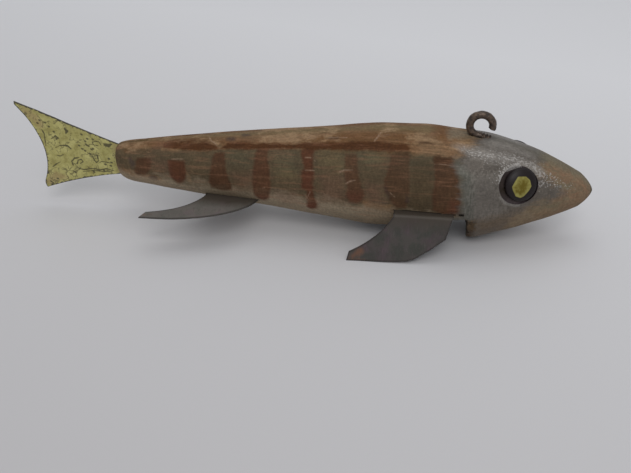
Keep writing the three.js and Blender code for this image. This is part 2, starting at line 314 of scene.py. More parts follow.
# Kerfs for the fins: where each starts, how long it is, how near the middle it ends, and its height
tail_kerf, past_back, past_side = 9, 20, 30
cut_away(body, block((-tail_kerf, -kerf_half, -past_back), (tail_kerf, kerf_half, past_back)))
pectoral_floor, pelvic_floor = 10, 4
pectoral_station, pectoral_root, pectoral_drop = 87.2, 18.2, 4.3
pelvic_station, pelvic_root, pelvic_drop = 28.4, 17, 6.8
saw_half, kerf_run_out, pry_gap = 0.38, 1.5, 0.48
for side in (-1, 1):
    for start, run, floor, low, high in (
        (pectoral_station - clearance, pectoral_root + clearance, pectoral_floor,
         -pectoral_drop - kerf_half, kerf_half - pectoral_drop),
        (pectoral_station + 2.5, 11.5, pectoral_floor, -pectoral_drop, pry_gap - pectoral_drop),
        (pectoral_station + pectoral_root + 0.9, kerf_run_out, pectoral_floor,
         -pectoral_drop - saw_half, saw_half - pectoral_drop),
        (pelvic_station - clearance, pelvic_root + 2 * clearance, pelvic_floor,
         -pelvic_drop - kerf_half, kerf_half - pelvic_drop),
    ):
        inner, outer = sorted((side * floor, side * past_side))
        cut_away(body, block((start, inner, low), (start + run, outer, high)))

# Seats and holes of the tack eyes
tack_station, tack_angle = 123.5, math.radians(24)
tack_radius, seat_depth, tack_shank = 5.2, 1.5, 8
seat_radius, seat_stretch, seat_offset = 5.6, 1.06, 0.6
tack_frames = {}
for side in (-1, 1):
    point = body_point(tack_station, tack_angle, side)
    outward = body_normal(tack_station, tack_angle, side)
    rearward = Vector((-1, 0, 0)) - outward * Vector((-1, 0, 0)).dot(outward)
    rearward.normalize()
    upward = outward.cross(rearward)
    upward *= math.copysign(1, upward.z)
    turn = outward.to_track_quat("Z", "Y").to_matrix().to_4x4()
    seat_middle = point + rearward * seat_offset
    tack_frames[side] = (point, outward, rearward, upward, seat_middle, turn)
    for radius, stretch, depth, centre in (
        (seat_radius, seat_stretch, 2 * seat_depth, seat_middle),
        (0.95, 1, 2 * (seat_depth + tack_shank), point),
    ):
        cutter = started(bpy.ops.mesh.primitive_cylinder_add, vertices=96, radius=radius, depth=depth)
        for vertex in cutter.data.vertices:
            swell = 1 + 0.012 * rough(vertex.co, 2.2, 4.0 + side)
            vertex.co.x *= swell * stretch
            vertex.co.y *= swell
        cutter.data.transform(Matrix.Translation(centre) @ turn)
        cut_away(body, cutter)

# Hole of the line eye's shank
line_station = 111.2
line_wire, line_across = 2.3, 9
line_middle, line_half = spine(line_station)
line_surface = line_middle + line_half
hole_floor, hole_length = line_surface - 10.3, 22
cutter = started(bpy.ops.mesh.primitive_cylinder_add, vertices=48, radius=line_wire / 2 + clearance,
                 depth=hole_length)
cutter.data.transform(Matrix.Translation((line_station, 0, hole_floor + hole_length / 2)))
cut_away(body, cutter)

# Where each point of the body lies: along it, round it and below the uncut surface
xyz = numbers(body)
count = len(xyz)
sample_at = np.linspace(0, body_length, 600)
samples = np.array([spine(a) for a in sample_at])
along = xyz[:, 0]
middles = np.interp(along, sample_at, samples[:, 0])
halves = np.maximum(np.interp(along, sample_at, samples[:, 1]), 0.2)
out_share = (np.abs(xyz[:, 1]) / (width_ratio * halves)) ** (section_power / 2)
up_share = (np.abs(xyz[:, 2] - middles) / halves) ** (section_power / 2)
round_angle = np.degrees(np.arctan2(up_share, out_share)) * np.sign(xyz[:, 2] - middles)
depth_below = halves * (1 - (out_share ** 2 + up_share ** 2) ** (1 / section_power))
per_degree = halves * math.pi / 180 * 0.96
left_side = xyz[:, 1] > 0
far_off = -50.0


def beside(start, end, place, turn, scale):
    """How far along one straight line each point lies, as a share, and how far from it"""
    (a0, t0), (a1, t1) = start, end
    da, dt = a1 - a0, t1 - t0
    run = da * da + (dt * scale) ** 2 + 1e-9
    share = np.clip(((place - a0) * da + (turn - t0) * dt * scale ** 2) / run, 0, 1)
    return share, np.hypot(place - a0 - share * da, (turn - t0 - share * dt) * scale)


def marked(*outlines, shift=0.0):
    """Millimetres inside the edge of brushed patches, less than nothing outside them"""
    place = along - np.where(left_side, shift, 0)
    best = np.full(count, -1e6)
    for outline in outlines:
        nearest = np.full(count, 1e6)
        inside = np.zeros(count, dtype=bool)
        for start, end in zip(outline, outline[1:] + outline[:1]):
            nearest = np.minimum(nearest, beside(start, end, place, round_angle, per_degree)[1])
            (a0, t0), (a1, t1) = start, end
            if t1 != t0:
                crossing = (t0 > round_angle) != (t1 > round_angle)
                inside ^= crossing & (place < (a1 - a0) * (round_angle - t0) / (t1 - t0) + a0)
        best = np.maximum(best, np.where(inside, nearest, -nearest))
    return best


def drawn(routes, place, turn, scale=1.0):
    """Millimetres inside thin marks drawn through points, each with its half width"""
    best = np.full(len(place), far_off)
    for route in routes:
        for (*start, w0), (*end, w1) in zip(route, route[1:]):
            share, gap = beside(start, end, place, turn, scale)
            best = np.maximum(best, w0 + share * (w1 - w0) - gap)
    return best


def stroked(*routes, both_sides=False):
    """Thin marks on the body, on its right side unless it has them on both"""
    best = drawn(routes, along, round_angle, per_degree)
    return best if both_sides else np.where(left_side, far_off, best)


def keep(piece, name, values):
    """Stores one number for each point of a piece"""
    layer = piece.data.attributes.new(name, "FLOAT", "POINT")
    layer.data.foreach_set("value", np.asarray(values, dtype=np.float32))


# All marks on the body are laid out in millimetres from its tail end, and degrees up from its middle
# Bars: outline, how well the paint holds, how red it is, and how far it moves on the left side
bars = [
    ([(6.8, 30), (11, 30), (11.6, 18), (10.9, 2), (9.6, -11), (8.6, -14), (6, -12), (5.6, -2),
      (6.3, 12)], 0.9, 0.35, 0.8),
    ([(17.1, 29), (22.4, 29), (22.8, 5), (22.4, -8), (21.7, -16), (20.6, -22), (19.4, -22),
      (18.5, -14), (17.7, -4), (17.2, 10)], 0.97, 0.75, -0.9),
    ([(32, 46), (35, 46), (35.6, 25), (36, 6), (37.4, -8), (37.2, -18), (34, -23), (30.6, -20),
      (30.1, -6), (30.9, 14), (31, 30)], 0.92, 0.4, 0.6),
    ([(45.2, 54), (48.8, 54), (48.6, 38), (49.2, 20), (49.7, 0), (49.4, -14), (48.6, -26),
      (47.2, -33), (45.4, -30), (44, -18), (43.9, 0), (44.3, 20), (44.6, 40)], 0.9, 0.55, -1.2),
    ([(58.4, 54), (62.6, 54), (62.5, 30), (63, 14), (62.6, 0), (63.2, -10), (63.9, -20),
      (63.3, -30), (62, -34), (60.7, -30), (60.6, -14), (60.8, -2), (59.4, 0), (59.2, 16),
      (59.9, 30), (58.7, 44)], 0.97, 0.8, 0.9),
    ([(72, 47), (75.5, 47), (76.2, 25), (77.5, 8), (78.4, 2), (77.6, -6), (76, -11),
      (73.6, -10), (72.8, -2), (73, 8), (72, 22)], 0.7, 0.6, -0.7),
    ([(85.5, 48), (91, 48), (91.3, 20), (91.6, 4), (90.6, -8), (88, -10), (86.4, -3),
      (84.2, 6), (83.9, 18), (85, 32)], 0.82, 0.2, 1.1),
    ([(98, 49), (103, 50), (104.9, 36), (106.1, 18), (106.8, 6), (106.3, -4), (104.4, -9),
      (100.5, -8), (98.6, -6), (98.2, 10), (98.6, 25), (98, 38)], 0.94, 0.2, 0),
]
bar_edge = np.full(count, far_off)
bar_hold = np.zeros(count)
bar_red = np.zeros(count)
for outline, hold, red, shift in bars:
    reach = marked(outline, shift=shift)
    nearer = reach > bar_edge
    bar_edge = np.where(nearer, reach, bar_edge)
    bar_hold = np.where(nearer, hold, bar_hold)
    bar_red = np.where(nearer, red, bar_red)
keep(body, "bar_edge", bar_edge)
keep(body, "bar_hold", bar_hold)
keep(body, "bar_red", bar_red)

# Red-brown stripe along the back, firm below and worn thin towards the ridge
stripe = marked([
    (14.8, 56), (22, 51), (31, 50.5), (34, 52.5), (44, 52), (51, 53), (58, 53), (66, 53), (74, 52),
    (82, 51.5), (90.6, 53), (91, 63), (86, 64), (80, 65), (74, 65), (66, 64), (60, 64),
    (57, 63), (50, 63), (44, 66), (40, 68), (36, 66), (34.5, 60), (33.5, 55),
    (31, 66), (29, 74), (26, 80), (22, 84), (16, 82), (15, 70)])
thinned = np.clip((round_angle - 57) / 10, 0, 1)
keep(body, "stripe", np.where(stripe > 0, stripe * (1 - 0.8 * thinned), stripe))
stripe_wash = marked([
    (57, 62), (66, 60), (74, 58), (91, 56), (91.4, 76), (70, 76), (62, 72)]) + 1.5
keep(body, "stripe_wash", np.maximum(stripe_wash, marked([
    (3, 58), (14, 60), (22, 56), (44, 58), (60, 60), (66, 62), (66, 72), (56, 68), (44, 68),
    (28, 84), (14, 84), (3, 80)], [(98.2, 71), (101.5, 72), (101.4, 92), (98, 90)])))
# The back's brown paint is worn to a thin, blotchy skin that ends square behind the neck
keep(body, "thin_back", marked([
    (-3, 64), (15, 66), (32, 64), (60, 66), (91, 68), (98.4, 72), (101.7, 71), (101.8, 130),
    (-3, 130)]))
keep(body, "neck_grey", marked([(102, 76), (107, 82), (111, 86), (113, 130), (102, 130)]))

# Bare wood: the rubbed ridge, the patch behind the head, the tail end and a belly patch
bare = marked([
    (-5, 66), (5, 56), (15, 62), (15, 52), (31, 52), (44, 54), (60, 55), (91, 54), (92, 49),
    (98, 50), (104, 50), (108, 62), (111, 68), (112.5, 80), (113, 100), (-5, 100)],
    [(22.6, 8), (24.6, -2), (24, -14), (22.9, -6)])
bare = np.maximum(bare, marked([(79, -10), (87.4, -10), (88, -40), (79, -44)]) + 0.8)
bare = np.maximum(bare, marked([(0, -10), (5, -9), (9.5, -14), (15, -22), (19, -44), (4, -60),
                                (0, -60)]) + 0.5)

# Silver-grey head, worn away over the snout and the jaw
keep(body, "head", marked([
    (112, 100), (111.4, 88), (109.6, 75), (107.6, 64), (105.6, 56), (104.2, 50), (105.3, 34),
    (106.5, 18), (107.2, 4), (106.6, -9), (103.4, -12), (103, -30), (108.5, -100), (119, -100),
    (120, -50), (122, -24), (126, -8), (131, -1), (135, 6), (136.5, 14), (135, 27),
    (131, 35), (129, 43), (128, 54), (127, 64), (130, 74), (131, 100)]))
snout = along - 127 + 4 * np.clip(round_angle / 40, -1.5, 0.6)
# Grey-green left on the snout's top and in patches on its cheeks
keep(body, "snout_grey", marked(
    [(128, 66), (134, 68), (140, 60), (146.5, 44), (146.5, 130), (128, 130)],
    [(132, 30), (139, 34), (142, 22), (134, 18)], [(130, -4), (138, 0), (136, -20), (129, -18)]))
keep(body, "torn_edge", np.minimum(
    1.4 - np.abs(along - throat_station - 1.0), (-13 - round_angle) * 0.3))
keep(body, "head_rear", marked([
    (103.8, 50), (105.2, 34), (106.4, 18), (107.1, 4), (106.5, -9), (103.4, -12), (103, -34),
    (108.4, -40), (111, -22), (111, -10), (110.4, 8), (109.5, 30), (106.5, 44)]))

# Silver specks left on the head in soft drifts, densest along the brow
keep(body, "flecks", stroked(
    [(107, 64, -1.3), (110, 60, -0.5), (113, 58.5, -0.1), (117, 58.5, -0.7)],
    [(117, 58.5, -0.6), (120.5, 58.5, -0.1), (125.8, 55.5, 0.1), (129, 47, -0.5)],
    [(118.6, 54, -0.6), (117.4, 44, -0.7), (117, 30, -1.1)],
    [(127.4, 47, -0.2), (129.4, 40, -0.3), (131.5, 42, -0.6), (134.5, 36, -1.1)],
    [(129, 30, -0.7), (133, 30, -0.8), (138, 29, -1.4)], both_sides=True))
# A painted highlight along the brow, where the metal paint would shine under the lamp, and painted shade
# below it
keep(body, "brow_painted_highlight", stroked(
    [(104, 66, 0.6), (108.5, 62, 1.6), (114, 59, 2.0), (120.5, 59, 1.8), (126, 56, 1.6), (129, 50, 0.8)],
    [(114, 80, 1.6), (120, 78, 1.6), (126, 72, 0.8)], both_sides=True))
# Painted shade on the side of the head below the brow
keep(body, "head_painted_shade", marked([
    (108, 50), (117, 50), (117, 36), (118, 20), (116, 6), (110, 6), (108, 24)]))
keep(body, "hatched", marked([
    (108.6, 36), (117.6, 40), (117.8, 20), (119.6, -2), (118, -14), (109.6, -14)]))

# Black paint that ran into the seats of the tack eyes
inked = np.full(count, far_off)
seat_rim_wear_and_highlight = np.full(count, far_off)
chips = np.full(count, far_off)
for side in (-1, 1):
    point, outward, rearward, upward, seat_middle, turn = tack_frames[side]
    away = xyz - np.array(seat_middle)
    near = np.abs(away @ np.array(outward)) < 4
    ahead = -(away @ np.array(rearward)) / seat_stretch
    above = away @ np.array(upward)
    past_rim = np.hypot(ahead, above) - seat_radius
    inked = np.where(near, np.maximum(inked, 0.1 - past_rim), inked)
    # The rim of each seat is pale below and behind, partly rubbed wood and partly a painted highlight, and
    # chipped above
    below = near & (ahead < 1.5) & (above < -3.2)
    seat_rim_wear_and_highlight = np.where(below, np.maximum(seat_rim_wear_and_highlight, 0.4 - np.abs(past_rim - 0.4)), seat_rim_wear_and_highlight)
    upper_rear = near & (ahead < 1) & (above > 0.5)
    worn = np.where(past_rim < 0, 1 + 0.5 * past_rim, 1 - 1.5 * past_rim)
    chips = np.where(upper_rear, np.maximum(chips, worn), chips)
keep(body, "inked", inked)
keep(body, "seat_rim_wear_and_highlight", seat_rim_wear_and_highlight)
keep(body, "chips", chips)

# Knots, smudges and the dark wood inside the cuts, which is partly dirty wood and partly painted shade
smudge = stroked(
    [(11.2, -15, 0.9), (12.4, -15.5, 1.0)],
    [(4.6, 27, 0.7), (5.3, 12, 1.0)],
    [(35.6, 76, 0.8), (37, 75, 1.0)],
    [(40.3, 86, 1.1), (41.6, 84, 0.7)],
    [(84.4, 9, 0.3), (85.4, 3, 0.5)],
    [(90.6, 6, 0.3), (91, 0, 0.5)],
    [(106, -6.5, 0.4), (107.4, -6.8, 0.5)])
keep(body, "smudge", smudge)
keep(body, "dark_brown", stroked(
    [(98.8, 46.5, 1.2), (102.2, 45, 1.1)],
    [(98.4, 51.5, 0.3), (99.6, 51, 0.4)],
    [(102.4, 51.5, 0.3), (103.8, 50, 0.4)],
    [(87, 50.5, 0.4), (90, 50, 0.5)],
    [(66, 71, 0.4), (69, 71, 0.5)],
    [(93.5, 66, 0.3), (97.5, 65, 0.4)]))

# Broad stains in the ground paint, between and over the bars
stained = marked([(90.6, 44), (98.8, 44), (98.8, 6), (99.6, -12), (86, -14), (91.6, 4), (91.6, 20)])
stained = np.maximum(stained, marked([(83, 12), (91, 10), (91, -12), (87, -12)]) - 0.8)
keep(body, "stained", stained)
keep(body, "green", marked(
    [(72, 52), (82, 51), (83, 36), (79, 30), (76.4, 36), (72, 36)],
    [(88, 49), (97.6, 48), (97.6, 30), (90, 32)],
    [(50, 52), (57.5, 52), (57.8, 22), (52, 18)],
    [(36.4, 50), (43.4, 50), (43.4, 24), (37, 20)],
    [(38.6, 76), (44, 76), (44.4, 68), (39, 67)]))
keep(body, "rosy", marked(
    [(11.6, 54), (17.4, 56), (17, 76), (12.4, 80)],
    [(104, 60), (109, 57), (108, 68), (104.5, 70)],
    [(51, -10), (57, -8), (60, -26), (52, -30)],
    [(78.6, 16), (83, 12), (84, -8), (79, -10)],
    [(64.8, 18), (72, 20), (72.4, -12), (65, -16)],
    [(37.8, 10), (43.4, 12), (43.4, -14), (38.4, -16)],
    [(12, 24), (17, 24), (17, 4), (12.4, 2)]))
# Places where the red of the bars is thick and fresh
keep(body, "fresh_red", marked(
    [(73.2, 1), (77.4, 2), (78.2, -5), (76.6, -10.6), (73.8, -10.4), (72.9, -4)],
    [(61.6, -20), (63.8, -20), (63.4, -32), (62, -34), (61, -30)],
    [(103.8, 6), (106.2, 5), (105.8, -4), (104.4, -8.4), (102.6, -7)],
    [(18, -6), (22.2, -8), (21.4, -18), (20, -21.6), (18.8, -14)],
    [(45, -20), (49.2, -22), (48.4, -29), (47, -33), (45.4, -29)],
    [(59.4, 22), (62.6, 20), (62.8, 2), (59.6, 2)]))
# How deep each point lies inside the cuts, which darkens them as dirty wood and as painted shade, much less
# on the stop cut's wall
on_wall = (np.abs(along - throat_station - 0.5) < 1.4) & (round_angle < -16)
keep(body, "cut_depth", np.clip(depth_below, 0, 8) * np.where(on_wall, 0.12, 1))

# Scratches and rubs that show light wood
scratches = stroked(
    [(80.2, 64, 0.2), (81, 70, 0.28), (82, 80, 0.15)],
    [(81.4, 72, 0.1), (83.5, 75, 0.2), (85, 75, 0.1)],
    [(82.2, 84, 0.1), (85.5, 87, 0.2)],
    [(83.2, 80, 0.15), (84.4, 82, 0.1)],
    [(18, 30.5, 0.15), (22, 31.5, 0.2)],
    [(60.2, 23.5, 0.15), (63, 24, 0.12)],
    [(60.1, 41, 0.15), (61.8, 41, 0.2)],
    [(62, -2, 0.12), (61.2, -10, 0.16), (60.2, -17, 0.12), (56.6, -19, 0.05)],
    [(60.4, -10, 0.08), (61.4, -16, 0.1)],
    [(70.5, 24, 0.15), (72, 27, 0.25), (74.6, 27.6, 0.15)],
    [(72.6, 11, 0.15), (74, 14.5, 0.25), (75.4, 16, 0.12)],
    [(66.2, 72, 0.15), (72, 71, 0.15)],
    [(67, 68, 0.05), (70, 67.5, 0.1)],
    [(98, 41, 0.1), (103, 42.6, 0.12)],
    [(28.8, 88, 0.1), (30, 74, 0.2), (31.6, 66, 0.15), (33.2, 54, 0.05)],
    [(63.4, 35.5, 0.1), (62.8, 38, 0.1)],
    [(59.6, 68, 0.1), (61, 80, 0.15)],
    [(85.8, 6, 0.12), (87.4, 2, 0.15)],
    [(47, -7, 0.15), (47.9, -5, 0.15)])
keep(body, "scratches", scratches)

# Pale wood where the ridge is rubbed hardest
keep(body, "pale_wood", marked(
    [(45, 84), (52, 88), (58, 84), (63, 78), (64, 68), (57, 66), (53, 68), (46, 68)],
    [(64.8, 94), (68, 92), (68.6, 74), (65.4, 72)],
    [(90.6, 66), (98.6, 70), (98.4, 76), (90.6, 74)],
    [(103.6, 62), (111, 58), (111.5, 72), (104, 76)],
    [(82, 80), (84.6, 80), (86, 88), (82, 90)],
    [(16, 82), (20, 72), (21.4, 76), (18, 86)],
    [(25.6, 84), (31.5, 78), (32.2, 64), (30, 66), (26.6, 74)],
    [(2, 66), (9, 64), (10, 70), (2.4, 74)]))
# Khaki where the ground paint is thin
keep(body, "khaki", marked(
    [(63.5, 50), (73, 50), (73, 30), (64, 28)],
    [(51, 34), (57, 34), (57, 14), (52, 12)],
    [(79, 50), (84, 48), (83.4, 38), (79, 38)]))

# Low relief of the marks, on top of the carving
relief = 0.1 * np.clip(scratches + 0.2, 0, 0.4) + 0.25 * np.clip(smudge, 0, 0.8) * (along < 14)
moved = xyz - numbers(body, "normal") * relief[:, None]
# The lip's rear corners are torn away in splinters
torn = np.clip(1 - (along - throat_station - 0.9) / 1.7, 0, 1) * (along > throat_station - 0.5)
torn *= np.clip(1 - depth_below / 3.2, 0, 1) * (round_angle < -18) * np.clip(-6 - xyz[:, 2], 0, 1)
splinters = [1 + 0.6 * rough(place, 0.9, 12.0) + 0.3 * rough(place, 0.4, 3.0) for place in xyz]
moved[:, 1] -= np.sign(xyz[:, 1]) * 1.1 * torn * np.array(splinters)
body.data.vertices.foreach_set("co", moved.astype(np.float32).ravel())
body.data.update()


def settle(piece):
    """Puts a finished piece into the row's frame, in metres, with a smooth skin and firm edges"""
    piece.data.transform(to_row_frame)
    alone(piece)
    bpy.ops.object.shade_smooth_by_angle(angle=math.radians(38))
    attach(piece, "root")


settle(body)
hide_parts("body")


# Fins: a fine grid laid between four edges, given thickness and softened edges
def patch(name, across, up, edges):
    """A grid stretched between a root, an outer edge and two sides"""
    piece = started(bpy.ops.mesh.primitive_grid_add, name, x_subdivisions=across, y_subdivisions=up, size=2)
    root, outer, lower, upper = edges
    for vertex in piece.data.vertices:
        s, t = (vertex.co.x + 1) / 2, (vertex.co.y + 1) / 2
        sides = lower(s).lerp(upper(s), t)
        ends = root(t).lerp(outer(t), s)
        corners = lower(0).lerp(lower(1), s).lerp(upper(0).lerp(upper(1), s), t)
        vertex.co = sides + ends - corners
    return piece


def thicken(piece):
    finish(piece, "SOLIDIFY", thickness=sheet, offset=0)
    finish(piece, "BEVEL", width=0.07, segments=2, limit_method="ANGLE",
           angle_limit=math.radians(50))


# Tail fin, upright, cut with snips and a little buckled
tail_root, tail_tongue = 5.1, 8.7
snipped = 0.05
upper_tip, lower_tip, lower_reach, heel_height = 18.1, 11.7, 26.7, 3.4


def tail_upper(s):
    share = tail_tongue / (tail_tongue + tail_reach)
    if s < share:
        return Vector((tail_tongue * (1 - s / share), 0, tail_root))
    t = (s - share) / (1 - share)
    return Vector(((snipped - tail_reach) * t, 0, tail_root + (upper_tip - tail_root) * t))


def tail_lower(s):
    share = tail_tongue / (tail_tongue + tail_reach)
    if s < share:
        return Vector((tail_tongue * (1 - s / share), 0, -tail_root))
    t = (s - share) / (1 - share)
    hollow = (-lower_reach / 2, 0, 1.6 - (tail_root + lower_tip) / 2)
    return curve_point([(0, 0, -tail_root), hollow, (-lower_reach, 0, -lower_tip)], t)


def tail_trailing(t):
    heel_share = 0.13
    heel_top = (-lower_reach, 0, heel_height - lower_tip)
    if t < heel_share:
        heel = (-lower_reach - 0.9, 0, heel_height / 2 - lower_tip)
        return curve_point([(-lower_reach, 0, -lower_tip), heel, heel_top], t / heel_share)
    t = (t - heel_share) / (1 - heel_share)
    if t > 0.96:
        return Vector((snipped - tail_reach, 0, upper_tip - (1 - t) / 0.04))
    tip = (snipped - tail_reach, 0, upper_tip - 1)
    return curve_point([heel_top, (-21.8, 0, 3.6), tip], t / 0.96)


def tail_inner(t):
    return Vector((tail_tongue, 0, tail_root * (2 * t - 1)))


tail = patch("sheet_tail", 170, 120, (tail_inner, tail_trailing, tail_lower, tail_upper))
for vertex in tail.data.vertices:
    x, _, z = vertex.co
    free = min(1, max(0, -x / 8))
    vertex.co.y += free * (0.5 * rough((x, 0, z), 15, 2.0) + 0.1 * rough((x, 0, z), 4, 6.0))
thicken(tail)


def rim_route(edge, upward):
    """The points of one cut edge, for marks that follow it"""
    return [(p.x, p[upward], 0.0) for p in (edge(k / 40) for k in range(41))]


tail_x, _, tail_z = numbers(tail).T
tail_rims = [rim_route(edge, 2) for edge in (tail_upper, tail_lower, tail_trailing)]
keep(tail, "rim", -drawn(tail_rims, tail_x, tail_z))
keep(tail, "worn_lines", drawn([
    [(-25.3, 8.9, 0.12), (-24.7, 7.6, 0.2), (-24.8, 3.4, 0.12)],
    [(-22.6, 5.9, 0.12), (-21.1, 7, 0.2), (-20.3, 6.3, 0.2), (-21.7, 5.3, 0.12)],
    [(-23.1, 8.1, 0.1), (-23.2, 7, 0.15), (-22.1, 7.5, 0.1)],
    [(-21.7, 2.8, 0.1), (-20.1, 3.7, 0.15), (-17.6, 3.9, 0.15), (-16.6, 2.7, 0.12)],
    [(-21.6, 0.1, 0.1), (-20.4, 0, 0.2), (-19.4, 0.6, 0.1)],
    [(-23.7, -4, 0.1), (-22.5, -3.1, 0.22), (-20.8, -2.1, 0.1)],
    [(-16.7, -3.1, 0.15), (-17, -1.7, 0.2), (-15.8, -0.5, 0.2), (-14.4, -0.2, 0.12)],
    [(-15.2, -2.4, 0.15), (-14.8, -1.2, 0.18), (-13.7, -0.8, 0.15), (-13.2, -1.6, 0.18),
     (-14.2, -2.4, 0.12)],
    [(-15.2, -4.1, 0.12), (-13.1, -4.5, 0.18), (-10.5, -3.9, 0.15), (-8, -4.3, 0.18),
     (-5.5, -3.7, 0.15), (-3.4, -4.3, 0.12)],
    [(-13.6, -5.2, 0.1), (-9.7, -4.6, 0.15), (-6.9, -4.9, 0.12), (-4.3, -4.5, 0.1)],
    [(-17.6, 9.6, 0.3), (-17, 8.9, 0.5), (-17.5, 8.1, 0.2)],
    [(-5.2, 4.8, 0.35), (-4, 4.6, 0.5), (-3, 5.2, 0.3)],
    [(-9.1, 5.4, 0.12), (-8.2, 6, 0.18), (-7, 5.8, 0.15), (-6.4, 4.7, 0.15)],
    [(-9, 4.7, 0.1), (-7.5, 4.4, 0.12)],
    [(-9.8, 0.4, 0.12), (-9.2, -1, 0.18), (-8.7, -1.7, 0.12), (-7.9, -0.9, 0.15),
     (-8.2, 0.2, 0.15)],
    [(-7.2, -1.2, 0.1), (-5.7, -1.3, 0.15), (-4.3, -1.6, 0.1)],
    [(-25.3, -9.4, 0.2), (-24.4, -10.1, 0.25), (-25.1, -10.7, 0.15)],
], tail_x, tail_z))
pits = [(-11.4, 4.5), (-10.8, 4.2), (-9.9, 3), (-9.4, 3.3), (-11.6, 5.8), (-10.8, 6.7),
        (-13, 3), (-13.9, 4.1), (-8.4, 0.9), (-4.6, 0), (-3.9, -1.3), (-4.3, -2.5),
        (-6.1, -2.1), (-10.2, -5.1), (-26.5, 11.1), (-24, 11.4), (-23, 10.1), (-21.6, 8.4),
        (-22.9, -8.3), (-18.3, -8.6), (-13.5, -7.2), (-25.7, 12.1), (-12.5, 8.1),
        (-10.6, 1.4), (-12.1, 2.4), (-16.6, -5.5), (-6.8, -4.4), (-9, 6.6)]
keep(tail, "pits", drawn([
    [(x, z, 0.2), (x + 0.25, z - 0.1, 0.26)] for x, z in pits], tail_x, tail_z))
keep(tail, "rosy", drawn([
    [(-30, 15.2, 1.2), (-27, 12.6, 1.6), (-25.6, 10.5, 1.2)],
    [(-25.6, -9.5, 1.4), (-23, -7.5, 1.8), (-20, -7.8, 0.8)],
    [(-2, 5, 0.7), (-1.1, -5, 0.7)],
], tail_x, tail_z))
settle(tail)
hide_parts("tail_fin")

# Side fins, cut from the same sheet
fins = []
pectoral_sweep, pectoral_tip, bend_offset, bend_radius = 13.3, 2.7, 17.6, 0.9
bend_angle = math.radians(72)
pectoral_fall = axis_height - pectoral_drop
ledge_in = 10.3
bend_start = bend_offset - bend_radius


def bent(run):
    """Distance across and drop of the bent sheet's middle, a run of metal from its root"""
    straight = bend_start - ledge_in
    if run < straight:
        return ledge_in + run, 0.0
    arc = bend_radius * bend_angle
    if run < straight + arc:
        turn = (run - straight) / bend_radius
        return bend_start + bend_radius * math.sin(turn), bend_radius * (1 - math.cos(turn))
    leg = run - straight - arc
    return (bend_start + bend_radius * math.sin(bend_angle) + leg * math.cos(bend_angle),
            bend_radius * (1 - math.cos(bend_angle)) + leg * math.sin(bend_angle))


leg_run = (pectoral_fall - bend_radius * (1 - math.cos(bend_angle))) / math.sin(bend_angle)
whole_run = bend_start - ledge_in + bend_radius * bend_angle + leg_run


def pectoral_rear_edge(drop):
    """How far forward of its rear root the fin's rear edge lies at one drop"""
    low = pectoral_fall - pectoral_tip
    if drop <= sheet:
        return 0.0
    if drop >= low:
        return -pectoral_sweep * (0.95 + 0.05 * (drop - low) / pectoral_tip)
    points = [(0, sheet, 0), (-0.29 * pectoral_sweep, 0.5 * pectoral_fall, 0),
              (-0.95 * pectoral_sweep, low, 0)]
    return edge_at(points, drop)


def pectoral_front_edge(drop):
    """The front edge is snipped in short straight runs"""
    reaches = [17.6, 17.3, 16.5, 15.75, 11.4, 6.9, 4.9, 1.9, -2.3, -6.7, -pectoral_sweep]
    drops = [0, sheet, 3.1, 6.2, 9.45, 12.25, 12.95, 13.36, 13.62, 13.75, pectoral_fall]
    return float(np.interp(drop, drops, reaches))


def edge_at(points, drop):
    """Reads a falling curve at one drop by halving"""
    low, high = 0.0, 1.0
    for _ in range(30):
        t = (low + high) / 2
        if curve_point(points, t).y < drop:
            low = t
        else:
            high = t
    return curve_point(points, (low + high) / 2).x


def pectoral(side, name):
    piece = started(bpy.ops.mesh.primitive_grid_add, name, x_subdivisions=110, y_subdivisions=96, size=2)
    for vertex in piece.data.vertices:
        s, t = (vertex.co.x + 1) / 2, (vertex.co.y + 1) / 2
        run = whole_run * (1 - (1 - t) ** 1.2) * 0.9999
        across, drop = bent(run)
        rear, front = pectoral_rear_edge(drop), pectoral_front_edge(drop)
        x = pectoral_station + rear + (front - rear) * s
        free = min(1, drop / 6)
        sway = free * (0.35 * rough((x, 0, drop), 11, 3 + side) + 0.06 * rough((x, 0, drop), 3, 5))
        vertex.co = (x, side * (across + sway), -pectoral_drop - drop)
    finish(piece, "SOLIDIFY", thickness=sheet, offset=0)
    # The lower edge is cut off level with the surface that the decoy stands on
    cut_away(piece, block(*under_table))
    return piece


pelvic_reach, pelvic_sweep, root_out, tongue_in = 15.6, -16.8, 8.3, 4.3
pelvic_out = root_out + pelvic_reach - 0.05
tongue_share = 0.13


def pelvic_inner(t):
    return Vector((pelvic_root * t, tongue_in, 0))


def pelvic_outer(t):
    return Vector((pelvic_sweep * (0.92 + 0.08 * t), pelvic_out - 3.2 * (1 - t), 0))


def pelvic_rear(s):
    if s < tongue_share:
        return Vector((0, tongue_in + (root_out - tongue_in) * s / tongue_share, 0))
    hollow = (0.19 * pelvic_sweep, root_out + 0.56 * pelvic_reach, 0)
    t = (s - tongue_share) / (1 - tongue_share)
    return curve_point([(0, root_out, 0), hollow, tuple(pelvic_outer(0))], t)


def pelvic_front(s):
    if s < tongue_share:
        return Vector((pelvic_root, tongue_in + (root_out - tongue_in) * s / tongue_share, 0))
    t = (s - tongue_share) / (1 - tongue_share)
    return curve_point([
        (pelvic_root, root_out, 0), (0.86 * pelvic_root, root_out + 0.53 * pelvic_reach, 0),
        (0.24 * pelvic_root, root_out + 1.02 * pelvic_reach, 0),
        (pelvic_sweep, pelvic_out, 0)], t)


def pelvic(side, name):
    piece = patch(name, 110, 70, (pelvic_inner, pelvic_outer, pelvic_rear, pelvic_front))
    for vertex in piece.data.vertices:
        x, y, _ = vertex.co
        free = min(1, max(0, (y - 8) / 6))
        lift = free * (0.3 * rough((x, y, 0), 12, 8 + side) + 0.05 * rough((x, y, 0), 3, 9))
        vertex.co = (pelvic_station + x, side * y, -pelvic_drop + lift)
    thicken(piece)
    return piece


